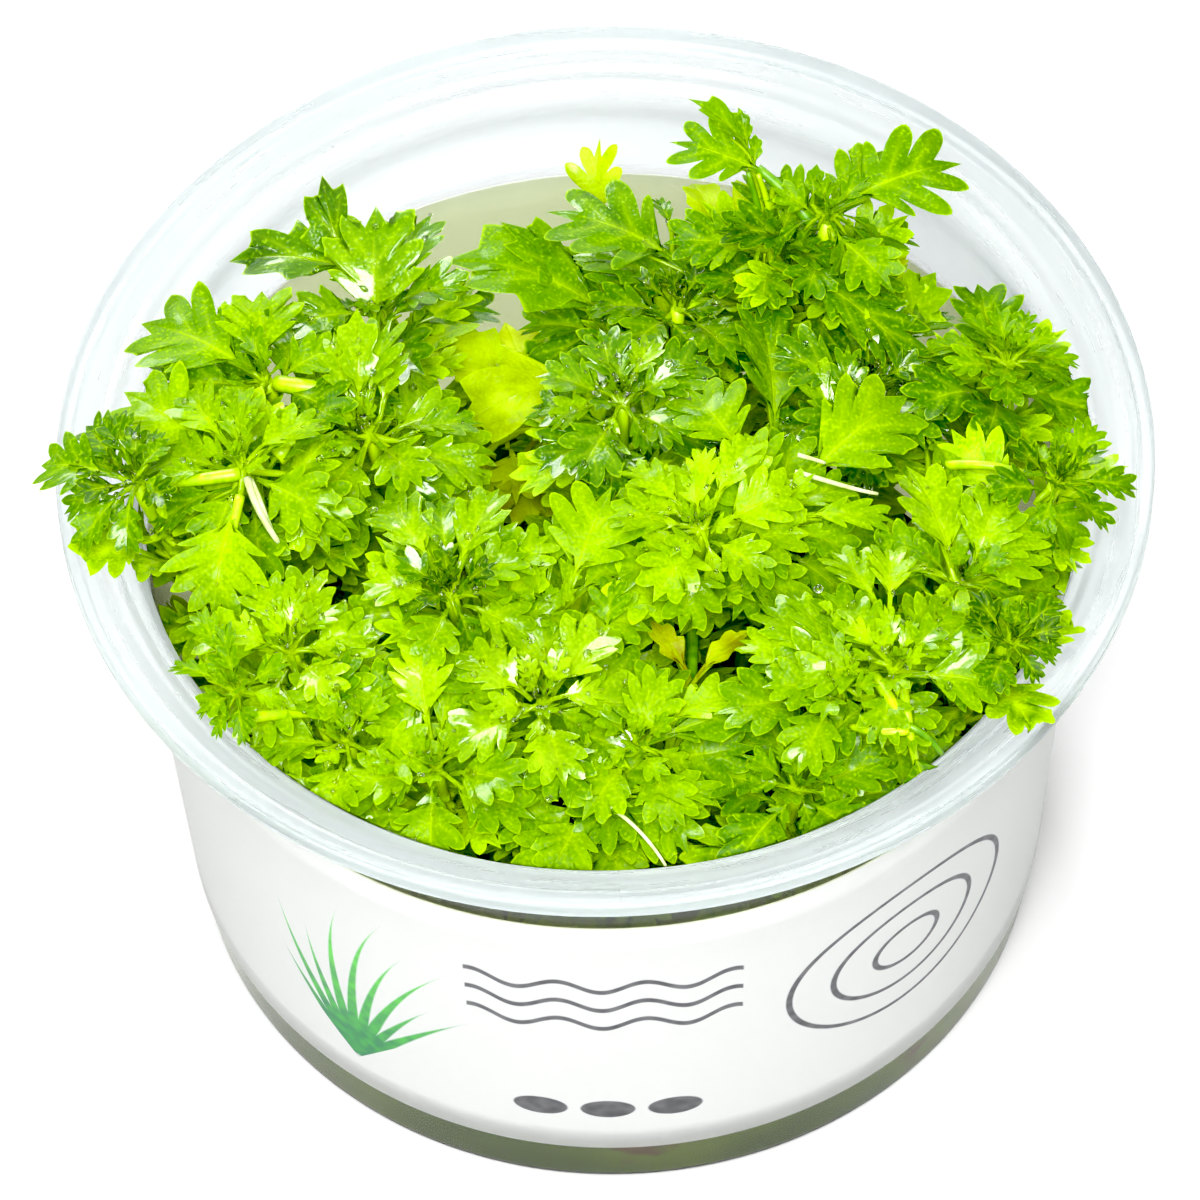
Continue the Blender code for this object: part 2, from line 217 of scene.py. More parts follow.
class Form(Enum):
    """The leaf shapes on these shoots."""

    WEDGE = LobePlan((0.22, 0.42, 0.6), (0.5, 0.75, 0.93), (0.9, 1.0, 0.62), 0.56, 1.05, 0.24, 0.2)
    FAN = LobePlan((0.16, 0.32, 0.5), (0.48, 0.72, 0.92), (0.94, 1.0, 0.66), 0.58, 1.05, 0.22, 0.4)
    FEATHER = LobePlan(
        (0.24, 0.4, 0.54, 0.67), (0.48, 0.68, 0.84, 0.95), (0.8, 1.0, 0.86, 0.5), 0.5, 1.0, 0.3, 0.25
    )
    FINGER = LobePlan((0.26, 0.43, 0.6), (0.46, 0.71, 0.92), (0.85, 1.0, 0.66), 0.42, 1.2, 0.08, 0.0)
    YOUNG = LobePlan((0.32, 0.52), (0.62, 0.88), (1.0, 0.74), 0.56, 1.0, 0.3, 0.2)
    SMOOTH = LobePlan((0.2, 0.45), (0.5, 0.82), (1.0, 0.8), 0.88, 0.9, 0.5, 0.0)
    CLEFT = LobePlan((0.1, 0.4), (0.46, 0.82), (1.0, 0.72), 0.74, 0.8, 0.5, 0.15)


class Detail(Enum):
    """Where the rows of a blade lie between its midrib (0) and its edge (1)."""

    FULL = (0.0, 0.05, 0.26, 0.52, 0.78, 0.94, 1.0)
    GOOD = (0.0, 0.06, 0.35, 0.65, 0.93, 1.0)
    PLAIN = (0.0, 0.08, 0.5, 0.93, 1.0)
    LOW = (0.0, 0.5, 1.0)


@dataclass(frozen=True)
class Leaf:
    """One leaf, given by the picture place and height of its tip.

    Width is a share of its length, and arch and fold are how far it bows and cups.
    """

    x: float
    y: float
    height: float
    width: float = 0.6
    form: Form = Form.WEDGE
    tone: Tone | None = None
    base: At | None = None
    arch: float = 0.12
    fold: float = 14.0


@dataclass
class Draft:
    """Points, faces and surface marks of one mesh while it is built, in millimetres."""

    points: list[Array] = field(default_factory=list)
    faces: list[Array] = field(default_factory=list)
    marks: list[Array] = field(default_factory=list)
    spots: list[Array] = field(default_factory=list)
    count: int = 0

    def add_points(self, points: Array, marks: Array, spots: Array) -> Array:
        """Adds points and gives their numbers.

        Args:
            points: an N x 3 array.
            marks: N x 4 values for the surface: vein, edge, tone and age.
            spots: N x 3 values: share of the leaf's length, wetness, and a number of the leaf's own.

        Returns:
            The numbers of the added points.
        """
        first = self.count
        self.count += len(points)
        self.points.append(points)
        self.marks.append(marks)
        self.spots.append(spots)
        return np.arange(first, self.count)

    def add_plain(self, points: Array) -> Array:
        """Adds points without marks and gives their numbers."""
        return self.add_points(points, np.zeros((len(points), 4)), np.zeros((len(points), 3)))

    def add_cap(self, ring: Array, pole: Array) -> None:
        """Closes a ring of points with a fan round a pole."""
        middle = np.full(len(ring), self.add_plain(pole[None])[0])
        self.faces.append(np.stack([ring, np.roll(ring, -1), middle, middle], axis=1))

    def add_rows(self, numbers: Array, closed: bool = False) -> None:
        """Adds the quads between neighbouring rows of points.

        Args:
            numbers: point numbers, one row of the array for each row of points.
            closed: whether each row joins up with its own start.
        """
        after = np.roll(numbers, -1, axis=1) if closed else numbers[:, 1:]
        here = numbers if closed else numbers[:, :-1]
        quads = np.stack([here[:-1], after[:-1], after[1:], here[1:]], axis=-1)
        self.faces.append(quads.reshape(-1, 4))

    def add_tube(
        self, route: Array, radii: Array, sides: int, mark: Sequence[float], wet: float
    ) -> None:
        """Adds a closed round tube.

        Args:
            route: points down its middle.
            radii: its radius at each of them.
            sides: how many sides it has.
            mark: the four surface marks of all its points.
            wet: the wetness of all its points.
        """
        along = np.gradient(route, axis=0)
        along /= np.linalg.norm(along, axis=1)[:, None]
        across = np.empty_like(route)
        start = np.array([1.0, 0, 0]) if abs(along[0][0]) < 0.8 else np.array([0, 1.0, 0])
        for k, way in enumerate(along):
            start = unit(start - way * start.dot(way))
            across[k] = start
        other = np.cross(along, across)
        turn = np.linspace(0, 2 * pi, sides, endpoint=False)
        rings = (
            route[:, None]
            + radii[:, None, None] * across[:, None] * np.cos(turn)[None, :, None]
            + radii[:, None, None] * other[:, None] * np.sin(turn)[None, :, None]
        )
        count = rings.shape[0] * sides
        share = np.repeat(np.linspace(0, 1, len(route)), sides)
        spots = np.stack([share, np.full(count, wet), np.full(count, route[0].sum() % 1)], axis=1)
        numbers = self.add_points(rings.reshape(-1, 3), np.tile(mark, (count, 1)), spots)
        numbers = numbers.reshape(-1, sides)
        self.add_rows(numbers, closed=True)
        for end, ring in ((0, numbers[0]), (-1, numbers[-1][::-1])):
            spot = np.array([[abs(end), wet, 0.5]])
            middle = np.full(sides, self.add_points(route[end][None], np.array([mark]), spot)[0])
            self.faces.append(np.stack([np.roll(ring, -1), ring, middle, middle], axis=1))

    def make(self, name: str, finish: Material, slot: str) -> Object:
        """Turns the draft into an object of the model.

        Args:
            name: the object's name.
            finish: its material.
            slot: not used.

        Returns:
            The new object, riding on the part's body.
        """
        mesh = bpy.data.meshes.new(name)
        faces = [list(dict.fromkeys(face)) for face in np.concatenate(self.faces).tolist()]
        mesh.from_pydata((np.concatenate(self.points) * MM).tolist(), [], faces)
        marks = mesh.attributes.new("marks", "FLOAT_COLOR", "POINT")
        marks.data.foreach_set("color", np.concatenate(self.marks).astype(np.float32).ravel())
        spots = mesh.attributes.new("spots", "FLOAT_VECTOR", "POINT")
        spots.data.foreach_set("vector", np.concatenate(self.spots).astype(np.float32).ravel())
        mesh.materials.append(finish)
        mesh.shade_smooth()
        made = bpy.data.objects.new(name, mesh)
        bpy.context.scene.collection.objects.link(made)
        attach(made, BODY)
        LOG.info("%s: %d points, %d faces", name, len(mesh.vertices), len(mesh.polygons))
        return made


def hold_inside(points: Array) -> Array:
    """Moves points that would pass through the tub or the gel back to its near side.

    Args:
        points: an N x 3 array.

    Returns:
        The points, each inside the tub or above its flange.
    """
    held = points.copy()
    held[:, 2] = np.maximum(held[:, 2], GEL_SURFACE + ABOVE_GEL)
    height = held[:, 2]
    wall = wall_outside(np.minimum(height, WALL_TOP)) - WALL
    opened = np.clip((height - WALL_TOP) / (OPENING_HEIGHT - WALL_TOP), 0, 1)
    mouth = wall + (OPENING_RADIUS - wall) * opened
    flange = OPENING_RADIUS + np.maximum(height - OPENING_HEIGHT, 0) * FLANGE_SLOPE
    limit = np.where(height < OPENING_HEIGHT, mouth, flange) - CLEARANCE
    limit = np.where(height > TUB_TOP + CLEARANCE, NO_LIMIT, limit)
    radius = np.hypot(held[:, 0], held[:, 1])
    share = np.minimum(1.0, limit / np.maximum(radius, NEARLY_NOTHING))
    held[:, :2] *= share[:, None]
    return held


@dataclass(frozen=True)
class Growth:
    """How leaves vary from their plan, as shares of a blade's length or of the planned value."""

    lobe_size: Pair = (0.86, 1.1)
    lobe_slip: float = 0.03
    notch_depth: Pair = (0.9, 1.1)
    shoulder_bend: float = 0.35
    neck_width: float = 0.025
    neck_steps: tuple[float, ...] = (0.0, 0.35, 0.7)
    neck_reach: float = 0.6
    first_row: float = 0.8
    last_row: float = 0.97
    tooth: float = 0.3
    tip_width: float = 0.001
    tone_change: float = 0.06
    # How much lighter a lobe lifted by its bend is drawn, and a lowered one darker: painted light.
    bend_painted_light: float = 0.05
    tip_age: float = 0.1
    midrib_band: float = 0.1
    midrib_side: float = 0.4
    vein_fade: float = 0.7
    cushion: float = 0.004


GROWTH = Growth()


@dataclass(frozen=True)
class LobeStep:
    """A point on a lobe's side: its share of the way to the tip, its part of a tooth, and its vein."""

    share: float
    tooth: float
    vein: float


LOBE_STEPS = (
    LobeStep(0.26, 0.0, 0.0),
    LobeStep(0.46, 1.0, 0.0),
    LobeStep(0.6, -0.12, 0.2),
    LobeStep(0.84, 0.0, 0.6),
)


@dataclass(frozen=True)
class RimPoint:
    """A point of a blade's outline: where its row starts on the midrib, its place, vein and bend."""

    start: float
    place: Array
    vein: float
    bend: float


@dataclass(frozen=True)
class BladeShape:
    """Where and how one blade lies: its two ends, the way its upper side faces, and how it is bent."""

    base: Array
    tip: Array
    facing: Array
    width: float
    plan: LobePlan
    rows: tuple[float, ...]
    arch: float = 0.12
    fold: float = 14.0
    ripple: float = 0.08

    def half_outline(self, rng: np.random.Generator) -> list[RimPoint]:
        """One half of the blade's outline, from its base to its tip, on a blade of length 1.

        Args:
            rng: the source of its small irregularities.

        Returns:
            The outline's points.
        """
        plan, half = self.plan, self.width / 2
        lobes = len(plan.roots)
        grown = rng.uniform(*GROWTH.lobe_size, lobes)
        slid = rng.uniform(-GROWTH.lobe_slip, GROWTH.lobe_slip, lobes)
        roots = [np.array([r, 0.0]) for r in plan.roots] + [np.array([(plan.roots[-1] + 1) / 2, 0.0])]
        tips = [np.array([u + d, half * s * j]) for u, d, s, j in zip(plan.tips, slid, plan.spans, grown)]
        tips.append(np.array([1.0, 0.0]))
        notches = []
        for k in range(lobes):
            middle = (roots[k] + roots[k + 1]) / 2
            outside = (tips[k] + tips[k + 1]) / 2
            notches.append(middle + (outside - middle) * plan.depth * rng.uniform(*GROWTH.notch_depth))
        armpit = (roots[0] + notches[0]) / 2
        shoulder = armpit + (armpit - notches[0]) * GROWTH.shoulder_bend
        notches.insert(0, shoulder)
        bends = rng.uniform(-1, 1, lobes + 1)
        outline = []
        for share in GROWTH.neck_steps:
            start = roots[0][0] * share * GROWTH.neck_reach
            outline.append(RimPoint(start, self.neck(shoulder, share), 0.0, 0.0))
        begin = roots[0][0] * GROWTH.first_row
        for k in range(lobes + 1):
            last = k == lobes
            end = (roots[k][0] + roots[min(k + 1, lobes)][0]) / 2
            after = tips[k] * (1, -1) - (0, GROWTH.tip_width) if last else notches[k + 1]
            bend = (bends[max(k - 1, 0)] + bends[k]) / 2
            outline.append(RimPoint(begin, notches[k], 0.0, bend))
            outline += self.lobe_side((notches[k], tips[k], after), (begin, roots[k][0]), bends[k], rng)
            outline.append(RimPoint(GROWTH.last_row if last else roots[k][0], tips[k], 1.0, bends[k]))
            if not last:
                corners = (notches[k + 1], tips[k], notches[k])
                outline += self.lobe_side(corners, (end, roots[k][0]), bends[k], rng)[::-1]
            begin = end
        return outline

    @staticmethod
    def neck(shoulder: Array, share: float) -> Array:
        """A point of the narrow neck, at a share of the way to its shoulder."""
        width = GROWTH.neck_width
        return np.array([shoulder[0] * share, width + (shoulder[1] - width) * share**2])

    def lobe_side(
        self,
        corners: tuple[Array, Array, Array],
        starts: Pair,
        bend: float,
        rng: np.random.Generator,
    ) -> list[RimPoint]:
        """One side of a lobe, without its notch and its tip.

        Args:
            corners: the notch that it rises from, the lobe's tip, and the notch on the lobe's other side.
            starts: where the rows of the notch and of the tip start on the midrib.
            bend: how far the lobe bends.
            rng: the source of its small irregularities.

        Returns:
            Its points from the notch to the tip.
        """
        notch, tip, far_notch = corners
        foot = (notch + far_notch) / 2
        way = tip - foot
        aside = (notch - foot) - unit(way) * (notch - foot).dot(unit(way))
        handle = tip - way * self.plan.blunt + aside * self.plan.bulge
        tooth = GROWTH.tooth * (rng.uniform() < self.plan.teeth)
        side = []
        for step in LOBE_STEPS:
            share = step.share
            point = (1 - share) ** 2 * notch + 2 * share * (1 - share) * handle + share**2 * tip
            start = starts[0] + (starts[1] - starts[0]) * share
            side.append(RimPoint(start, point + aside * step.tooth * tooth, step.vein, bend))
        return side

    def add_to(
        self, draft: Draft, tone: float, age: float, wet: float, rng: np.random.Generator
    ) -> Array:
        """Adds the blade to a draft.

        Args:
            draft: the mesh that it goes into.
            tone: how light its green is.
            age: how far it has yellowed.
            wet: how wet it is.
            rng: the source of its small irregularities.

        Returns:
            Its points, in rows from the midrib to the edge.
        """
        left, right = self.half_outline(rng), self.half_outline(rng)
        half_count = len(left)
        starts = np.array([point.start for point in left + left[-2::-1]])
        veins = np.array([point.vein for point in left + left[-2::-1]])
        bend = np.array([point.bend for point in left + right[-2::-1]])
        rim = np.array([point.place * (1, -1) for point in left] + [point.place for point in right[-2::-1]])
        rows = np.array(self.rows)[:, None]
        along = starts[None] * (1 - rows) + rim[None, :, 0] * rows
        aside = rim[None, :, 1] * rows
        points = self.onto_curve(along, aside, rows, veins, bend)
        fading = veins[None] ** 2 * (1 - rows) * GROWTH.vein_fade
        vein = np.where(rows == 0, 1.0, np.where(rows < GROWTH.midrib_band, GROWTH.midrib_side, fading))
        # The outer row is marked as edge, which the skin draws paler, partly as a painted edge highlight.
        edge = np.broadcast_to(np.where(rows >= 1, 1.0, 0.0), along.shape)
        # Lobes lifted by their bend are drawn lighter and lowered ones darker: painted light.
        shade = tone + GROWTH.tone_change * rng.standard_normal() + GROWTH.bend_painted_light * bend[None] * rows
        number = rng.uniform()
        aged = np.full_like(along, age) + GROWTH.tip_age * (1 - along)
        marks = np.stack([vein, edge, shade, aged], axis=-1)
        spots = np.stack([along, np.full_like(along, wet), np.full_like(along, number)], axis=-1)
        held = hold_inside(points.reshape(-1, 3))
        numbers = draft.add_points(held, marks.reshape(-1, 4), spots.reshape(-1, 3))
        numbers = numbers.reshape(along.shape)
        numbers[0, half_count:] = numbers[0, half_count - 2 :: -1]
        draft.add_rows(numbers)
        return held.reshape(*along.shape, 3)

    def onto_curve(
        self, along: Array, aside: Array, rows: Array, veins: Array, bend: Array
    ) -> Array:
        """Lays the flat blade on its curve, cupped along the midrib and rippled at the lobes.

        Args:
            along: share of the blade's length, for each point.
            aside: distance from the midrib as a share of the length.
            rows: each row's share of the way from midrib to edge.
            veins: 1 where a vein runs to the edge.
            bend: how far each lobe bends.

        Returns:
            The points in space.
        """
        length = np.linalg.norm(self.tip - self.base)
        axis = unit(self.tip - self.base)
        normal = unit(self.facing - axis * self.facing.dot(axis))
        side = np.cross(normal, axis)
        crest = (self.base + self.tip) / 2 + normal * self.arch * length * 2
        u = along[..., None]
        centre = (1 - u) ** 2 * self.base + 2 * u * (1 - u) * crest + u**2 * self.tip
        slope = 2 * (1 - u) * (crest - self.base) + 2 * u * (self.tip - crest)
        slope /= np.linalg.norm(slope, axis=-1, keepdims=True)
        lift = normal - slope * (slope @ normal)[..., None]
        lift /= np.linalg.norm(lift, axis=-1, keepdims=True)
        fold = radians(self.fold)
        raised = np.abs(aside) * sin(fold) + self.ripple * bend[None] * rows**2 * np.abs(aside)
        raised = raised + GROWTH.cushion * np.sin(pi * rows) * (1 - veins[None])
        return centre + side * (aside * cos(fold) * length)[..., None] + lift * (raised * length)[..., None]


@dataclass(frozen=True)
class Habit:
    """How every shoot stands, in millimetres or as shares of its own sizes."""

    lean: float = 0.25
    crown_depth: float = 4.5
    above_rim: float = 0.5
    root_spread: float = 0.74
    root_depth: float = 0.8
    stem_bow: float = 0.8


HABIT = Habit()


@dataclass(frozen=True)
class Shoot:
    """One shoot: its heart, its listed leaves, and how many young, filling and lower leaves it has."""

    name: str
    heart: At
    tone: Tone
    leaves: tuple[Leaf, ...]
    young: int = 7
    fill: int = 5
    under: int = 6
    fill_length: float = 9.3
    wet: float = 0.25
    over_rim: bool = False
    own_stem: bool = True
    heart_tone: Tone | None = None

    def axis(self) -> Array:
        """The way the crown faces: up, and a little away from the middle of the tub."""
        heart = self.heart.point()
        outward = np.array([heart[0], heart[1], 0]) / OPENING_RADIUS
        return unit(np.array([0, 0, 1.0]) + outward * HABIT.lean)

    def across(self) -> tuple[Array, Array]:
        """Two directions square to the axis."""
        side = unit(np.array([1.0, 0, 0]) - self.axis() * self.axis()[0])
        return side, np.cross(self.axis(), side)

    def foot(self) -> Array:
        """Where the crown meets its stem."""
        foot = self.heart.point() - self.axis() * HABIT.crown_depth
        if self.over_rim:
            foot[2] = TUB_TOP + HABIT.above_rim
        return foot

    def stem_route(self, count: int) -> Array:
        """Points down the middle of the stem, from the gel to the heart."""
        top, axis = self.foot(), self.axis()
        low = np.array([*top[:2] * HABIT.root_spread, GEL_SURFACE - HABIT.root_depth])
        reach = (top[2] - low[2]) / 2
        up = np.array([0, 0, reach])
        return bezier([low, low + up, top - axis * reach * HABIT.stem_bow, top], count)


SHOOTS = (
    Shoot(
        "far_left", At(133, 478, 70), Tone.DARK, over_rim=True, fill=4, fill_length=6.5, wet=0.5,
        heart_tone=Tone.SHADED_HEART,
        leaves=(
            Leaf(41, 466, 67, 0.85),
            Leaf(86, 426, 68.5, 0.75),
            Leaf(116, 412, 70),
            Leaf(168, 443, 71, 0.7, tone=Tone.MID),
            Leaf(170, 492, 70, 0.7, tone=Tone.MID),
            Leaf(128, 558, 67, tone=Tone.MID),
            Leaf(64, 515, 67, 0.7),
            Leaf(78, 553, 66.5, 0.5, tone=Tone.MID),
        ),
    ),
    Shoot(
        "upper_left", At(264, 375, 66), Tone.MID,
        leaves=(
            Leaf(141, 324, 64, 0.86, Form.FAN, base=At(254, 372, 66), fold=4),
            Leaf(262, 291, 67, 1.0, Form.FAN, Tone.BRIGHT, base=At(262, 366, 66), fold=8),
            Leaf(294, 316, 66, base=At(262, 362, 66)),
            Leaf(157, 357, 62, tone=Tone.DARK, base=At(208, 402, 62)),
            Leaf(124, 392, 65, 0.95, Form.FAN, Tone.BRIGHT, base=At(212, 452, 65), fold=6),
            Leaf(258, 440, 65, tone=Tone.BRIGHT, base=At(262, 385, 66)),
            Leaf(330, 400, 63, base=At(280, 385, 65)),
            Leaf(215, 392, 64, 0.55, tone=Tone.DARK, base=At(255, 380, 65)),
        ),
    ),
    Shoot(
        "left_node", At(240, 462, 68), Tone.BRIGHT, wet=0.4,
        leaves=(
            Leaf(186, 388, 67),
            Leaf(250, 398, 70, 0.5),
            Leaf(160, 478, 66, 0.55, base=At(215, 472, 67)),
            Leaf(214, 622, 63.5, 0.9, Form.FEATHER, base=At(238, 500, 68), fold=6),
            Leaf(330, 556, 63, 0.85, Form.FAN, base=At(298, 474, 66), fold=6),
            Leaf(150, 535, 63, 0.55, tone=Tone.MID, base=At(232, 488, 66)),
            Leaf(304, 428, 67, tone=Tone.PALE),
            Leaf(275, 585, 60, 0.5, tone=Tone.MID, base=At(262, 500, 65)),
        ),
    ),
    Shoot(
        "back_left", At(376, 300, 62), Tone.MID, wet=0.85, fill=3, under=4,
        leaves=(
            Leaf(229, 262, 61, 0.62, Form.CLEFT, Tone.DARK, base=At(352, 268, 62), fold=18),
            Leaf(322, 175, 68, 0.62, Form.CLEFT, Tone.DARK, base=At(348, 276, 62), fold=20),
            Leaf(376, 206, 67, 0.86, Form.FAN, base=At(376, 336, 61), fold=8),
            Leaf(432, 214, 64, 0.72, Form.FAN, base=At(392, 300, 62)),
            Leaf(440, 296, 61, 0.6, Form.SMOOTH, Tone.DARK, base=At(385, 322, 61)),
            Leaf(330, 322, 58, tone=Tone.DARK),
        ),
    ),
    Shoot(
        "upright_left", At(368, 428, 64), Tone.BRIGHT, wet=0.8,
        leaves=(
            Leaf(357, 308, 71, 0.42, Form.SMOOTH, base=At(360, 415, 65)),
            Leaf(392, 318, 69, 0.62, Form.FINGER, base=At(368, 415, 65)),
            Leaf(334, 331, 68, 0.45, base=At(355, 415, 65)),
            Leaf(402, 350, 67, 0.45, base=At(380, 415, 65)),
            Leaf(484, 424, 63, 0.55, tone=Tone.MID, base=At(398, 440, 63)),
            Leaf(492, 478, 62, base=At(398, 452, 63)),
            Leaf(300, 478, 61),
            Leaf(345, 548, 59),
            Leaf(430, 515, 61, 0.7, tone=Tone.MID),
        ),
    ),
    Shoot(
        "back_middle", At(618, 326, 58), Tone.MID, fill=3, under=4,
        leaves=(
            Leaf(442, 262, 61, 0.66, Form.CLEFT, base=At(612, 318, 58), arch=0.16, fold=6),
            Leaf(500, 222, 63, 0.62, Form.CLEFT, base=At(590, 312, 58), fold=8),
            Leaf(528, 384, 54, 0.6, Form.CLEFT, Tone.DARK, base=At(602, 330, 57)),
            Leaf(640, 382, 55),
            Leaf(588, 262, 60, 0.5, tone=Tone.DARK),
            Leaf(600, 138, 63, 0.62, Form.FINGER, Tone.LEMON, base=At(598, 232, 56)),
        ),
    ),
    Shoot(
        "back_dark", At(678, 302, 63), Tone.MID, wet=0.7, heart_tone=Tone.SHADED_HEART,
        leaves=(
            Leaf(546, 212, 66, 0.86, Form.FINGER, base=At(692, 274, 63), fold=4),
            Leaf(566, 258, 61, 0.5, Form.CLEFT, base=At(682, 288, 61), fold=8),
            Leaf(600, 322, 60, 0.55, tone=Tone.DARK, base=At(665, 318, 61)),
            Leaf(638, 352, 60, 0.55, tone=Tone.DARK, base=At(665, 318, 61)),
            Leaf(700, 356, 60, 0.55, tone=Tone.DARK, base=At(665, 318, 61)),
            Leaf(722, 348, 61, 0.5),
            Leaf(655, 198, 63, 0.45, tone=Tone.DARK, base=At(672, 232, 63)),
        ),
    ),
    Shoot(
        "tall_back", At(772, 240, 67), Tone.MID, fill_length=9.5,
        leaves=(
            Leaf(688, 99, 77, 0.55, Form.CLEFT, base=At(750, 154, 74), fold=20),
            Leaf(738, 107, 77, 0.4, Form.SMOOTH, base=At(748, 152, 74)),
            Leaf(669, 142, 74, 0.78, Form.FINGER, base=At(774, 180, 72), fold=4),
            Leaf(755, 134, 75, 0.45, Form.SMOOTH, base=At(754, 168, 73)),
            Leaf(692, 184, 62, 0.5, Form.SMOOTH, Tone.LEMON, base=At(716, 240, 63)),
            Leaf(762, 180, 63, 0.8, Form.CLEFT, Tone.LEMON, base=At(740, 245, 63)),
            Leaf(687, 262, 67, 0.85, Form.FAN, Tone.BRIGHT, base=At(752, 246, 67)),
            Leaf(752, 307, 64, 0.8, Form.FAN, Tone.BRIGHT, base=At(758, 250, 67)),
            Leaf(928, 378, 63, 0.46, Form.FEATHER, base=At(772, 262, 67), fold=6),
            Leaf(754, 300, 65, 0.62, Form.FAN, base=At(774, 436, 60), fold=24),
            Leaf(852, 384, 60, 0.55, base=At(800, 290, 63)),
        ),
    ),
    Shoot(
        "back_right", At(828, 214, 71), Tone.MID, fill=2,
        leaves=(
            Leaf(962, 164, 71, 0.82, Form.FINGER, base=At(828, 212, 71), fold=6),
            Leaf(817, 164, 73, 0.5, Form.SMOOTH, base=At(812, 204, 71)),
            Leaf(842, 294, 64, 0.85, Form.FINGER, base=At(826, 214, 71), arch=0.2),
            Leaf(873, 272, 66, 0.3, Form.SMOOTH, Tone.DARK, base=At(836, 218, 71), arch=0.2),
            Leaf(878, 247, 67, 0.3, Form.SMOOTH, Tone.DARK, base=At(838, 214, 71), arch=0.2),
            Leaf(774, 263, 67, 0.3, Form.SMOOTH, Tone.DARK, base=At(816, 216, 71), arch=0.2),
            Leaf(804, 264, 66, 0.36, Form.SMOOTH, base=At(822, 216, 71), arch=0.2),
            Leaf(896, 242, 62, 0.8, Form.FAN, Tone.YELLOW, base=At(866, 302, 60)),
            Leaf(936, 272, 62, 0.8, Form.CLEFT, Tone.BRIGHT, base=At(896, 340, 60)),
        ),
    ),
    Shoot(
        "right_upper", At(1010, 358, 66), Tone.MID, fill=4, fill_length=7,
        leaves=(
            Leaf(957, 318, 66, 0.5),
            Leaf(990, 318, 67, 0.5),
            Leaf(1030, 310, 68, 0.62),
            Leaf(1056, 332, 67, 0.55),
            Leaf(1081, 367, 65),
            Leaf(1046, 382, 64, 0.5),
            Leaf(922, 352, 64, 0.5),
            Leaf(918, 390, 62, 0.45, tone=Tone.BRIGHT, base=At(1002, 386, 64)),
            Leaf(1064, 402, 61, 0.85, Form.FAN, base=At(1008, 392, 63)),
            Leaf(1002, 462, 60, 0.5, base=At(1012, 400, 63)),
        ),
    ),
    Shoot(
        "right_edge", At(1058, 480, 69), Tone.DARK, over_rim=True, fill=3, fill_length=6.5,
        heart_tone=Tone.SHADED_HEART,
        leaves=(
            Leaf(1138, 490, 67, 0.55),
            Leaf(1098, 424, 70, 0.72, tone=Tone.MID),
            Leaf(1062, 424, 70, 0.5, tone=Tone.MID),
            Leaf(1022, 468, 69, 0.55, tone=Tone.MID),
            Leaf(1100, 504, 67, 0.5),
            Leaf(1080, 552, 63, 0.95, Form.FAN, Tone.MID, base=At(1036, 502, 67)),
            Leaf(1036, 540, 66, tone=Tone.MID),
            Leaf(1028, 446, 68, 0.5, tone=Tone.MID),
        ),
    ),
    Shoot(
        "right_bright", At(960, 580, 66), Tone.BRIGHT, wet=0.6, heart_tone=Tone.MID,
        leaves=(
            Leaf(906, 466, 70, 0.72, Form.FAN, Tone.PALE, base=At(952, 568, 66)),
            Leaf(1002, 486, 69, 0.8, Form.FAN, base=At(972, 568, 66)),
            Leaf(1046, 520, 66, 0.62),
            Leaf(1078, 560, 63, tone=Tone.MID, base=At(1010, 572, 65)),
            Leaf(1022, 604, 63, tone=Tone.MID),
            Leaf(925, 642, 63),
            Leaf(880, 560, 64, tone=Tone.PALE),
            Leaf(957, 482, 64, base=At(926, 436, 63)),
        ),
    ),
    Shoot(
        "mid_right", At(868, 380, 64), Tone.MID, wet=0.8, heart_tone=Tone.SHADED_HEART,
        leaves=(
            Leaf(806, 358, 66, 0.62, Form.FAN, Tone.BRIGHT, base=At(836, 432, 62)),
            Leaf(848, 344, 67, 0.5, base=At(842, 424, 62)),
            Leaf(926, 374, 63),
            Leaf(962, 406, 64, 0.62, Form.FAN, Tone.BRIGHT, base=At(892, 432, 62)),
            Leaf(898, 446, 62),
            Leaf(950, 312, 60, 0.55, base=At(890, 352, 61)),
            Leaf(890, 262, 57, tone=Tone.PALE, base=At(872, 330, 58)),
        ),
    ),
    Shoot(
        "centre_right", At(772, 512, 67), Tone.BRIGHT,
        leaves=(
            Leaf(896, 522, 66, 0.4, base=At(790, 518, 67)),
            Leaf(745, 604, 61, 0.9, Form.FAN, base=At(768, 532, 66)),
            Leaf(908, 396, 65, 0.72, Form.FAN, base=At(800, 484, 66), fold=6),
            Leaf(686, 388, 66, 0.75, Form.FINGER, base=At(752, 468, 66), fold=6),
            Leaf(757, 436, 71, 0.5, tone=Tone.PALE, base=At(748, 506, 67)),
            Leaf(840, 560, 63, 0.55),
        ),
    ),
    Shoot(
        "centre_wet", At(622, 398, 66), Tone.MID, wet=1.0,
        leaves=(
            Leaf(558, 374, 64, 0.62),
            Leaf(548, 426, 63, tone=Tone.BRIGHT),
            Leaf(600, 452, 63, tone=Tone.BRIGHT),
            Leaf(694, 362, 66, 0.62),
            Leaf(656, 338, 67, 0.55, tone=Tone.BRIGHT),
            Leaf(652, 455, 63),
            Leaf(598, 344, 65, 0.55),
        ),
    ),
    Shoot(
        "bright_star", At(702, 525, 70), Tone.PALE, wet=0.5,
        leaves=(
            Leaf(626, 466, 70, 0.5),
            Leaf(640, 500, 69, 0.42),
            Leaf(636, 558, 67, 0.55),
            Leaf(674, 584, 66, 0.5),
            Leaf(706, 446, 72, 0.5),
            Leaf(756, 436, 72, 0.5),
            Leaf(718, 588, 66, 0.45),
            Leaf(640, 530, 68, 0.4),
        ),
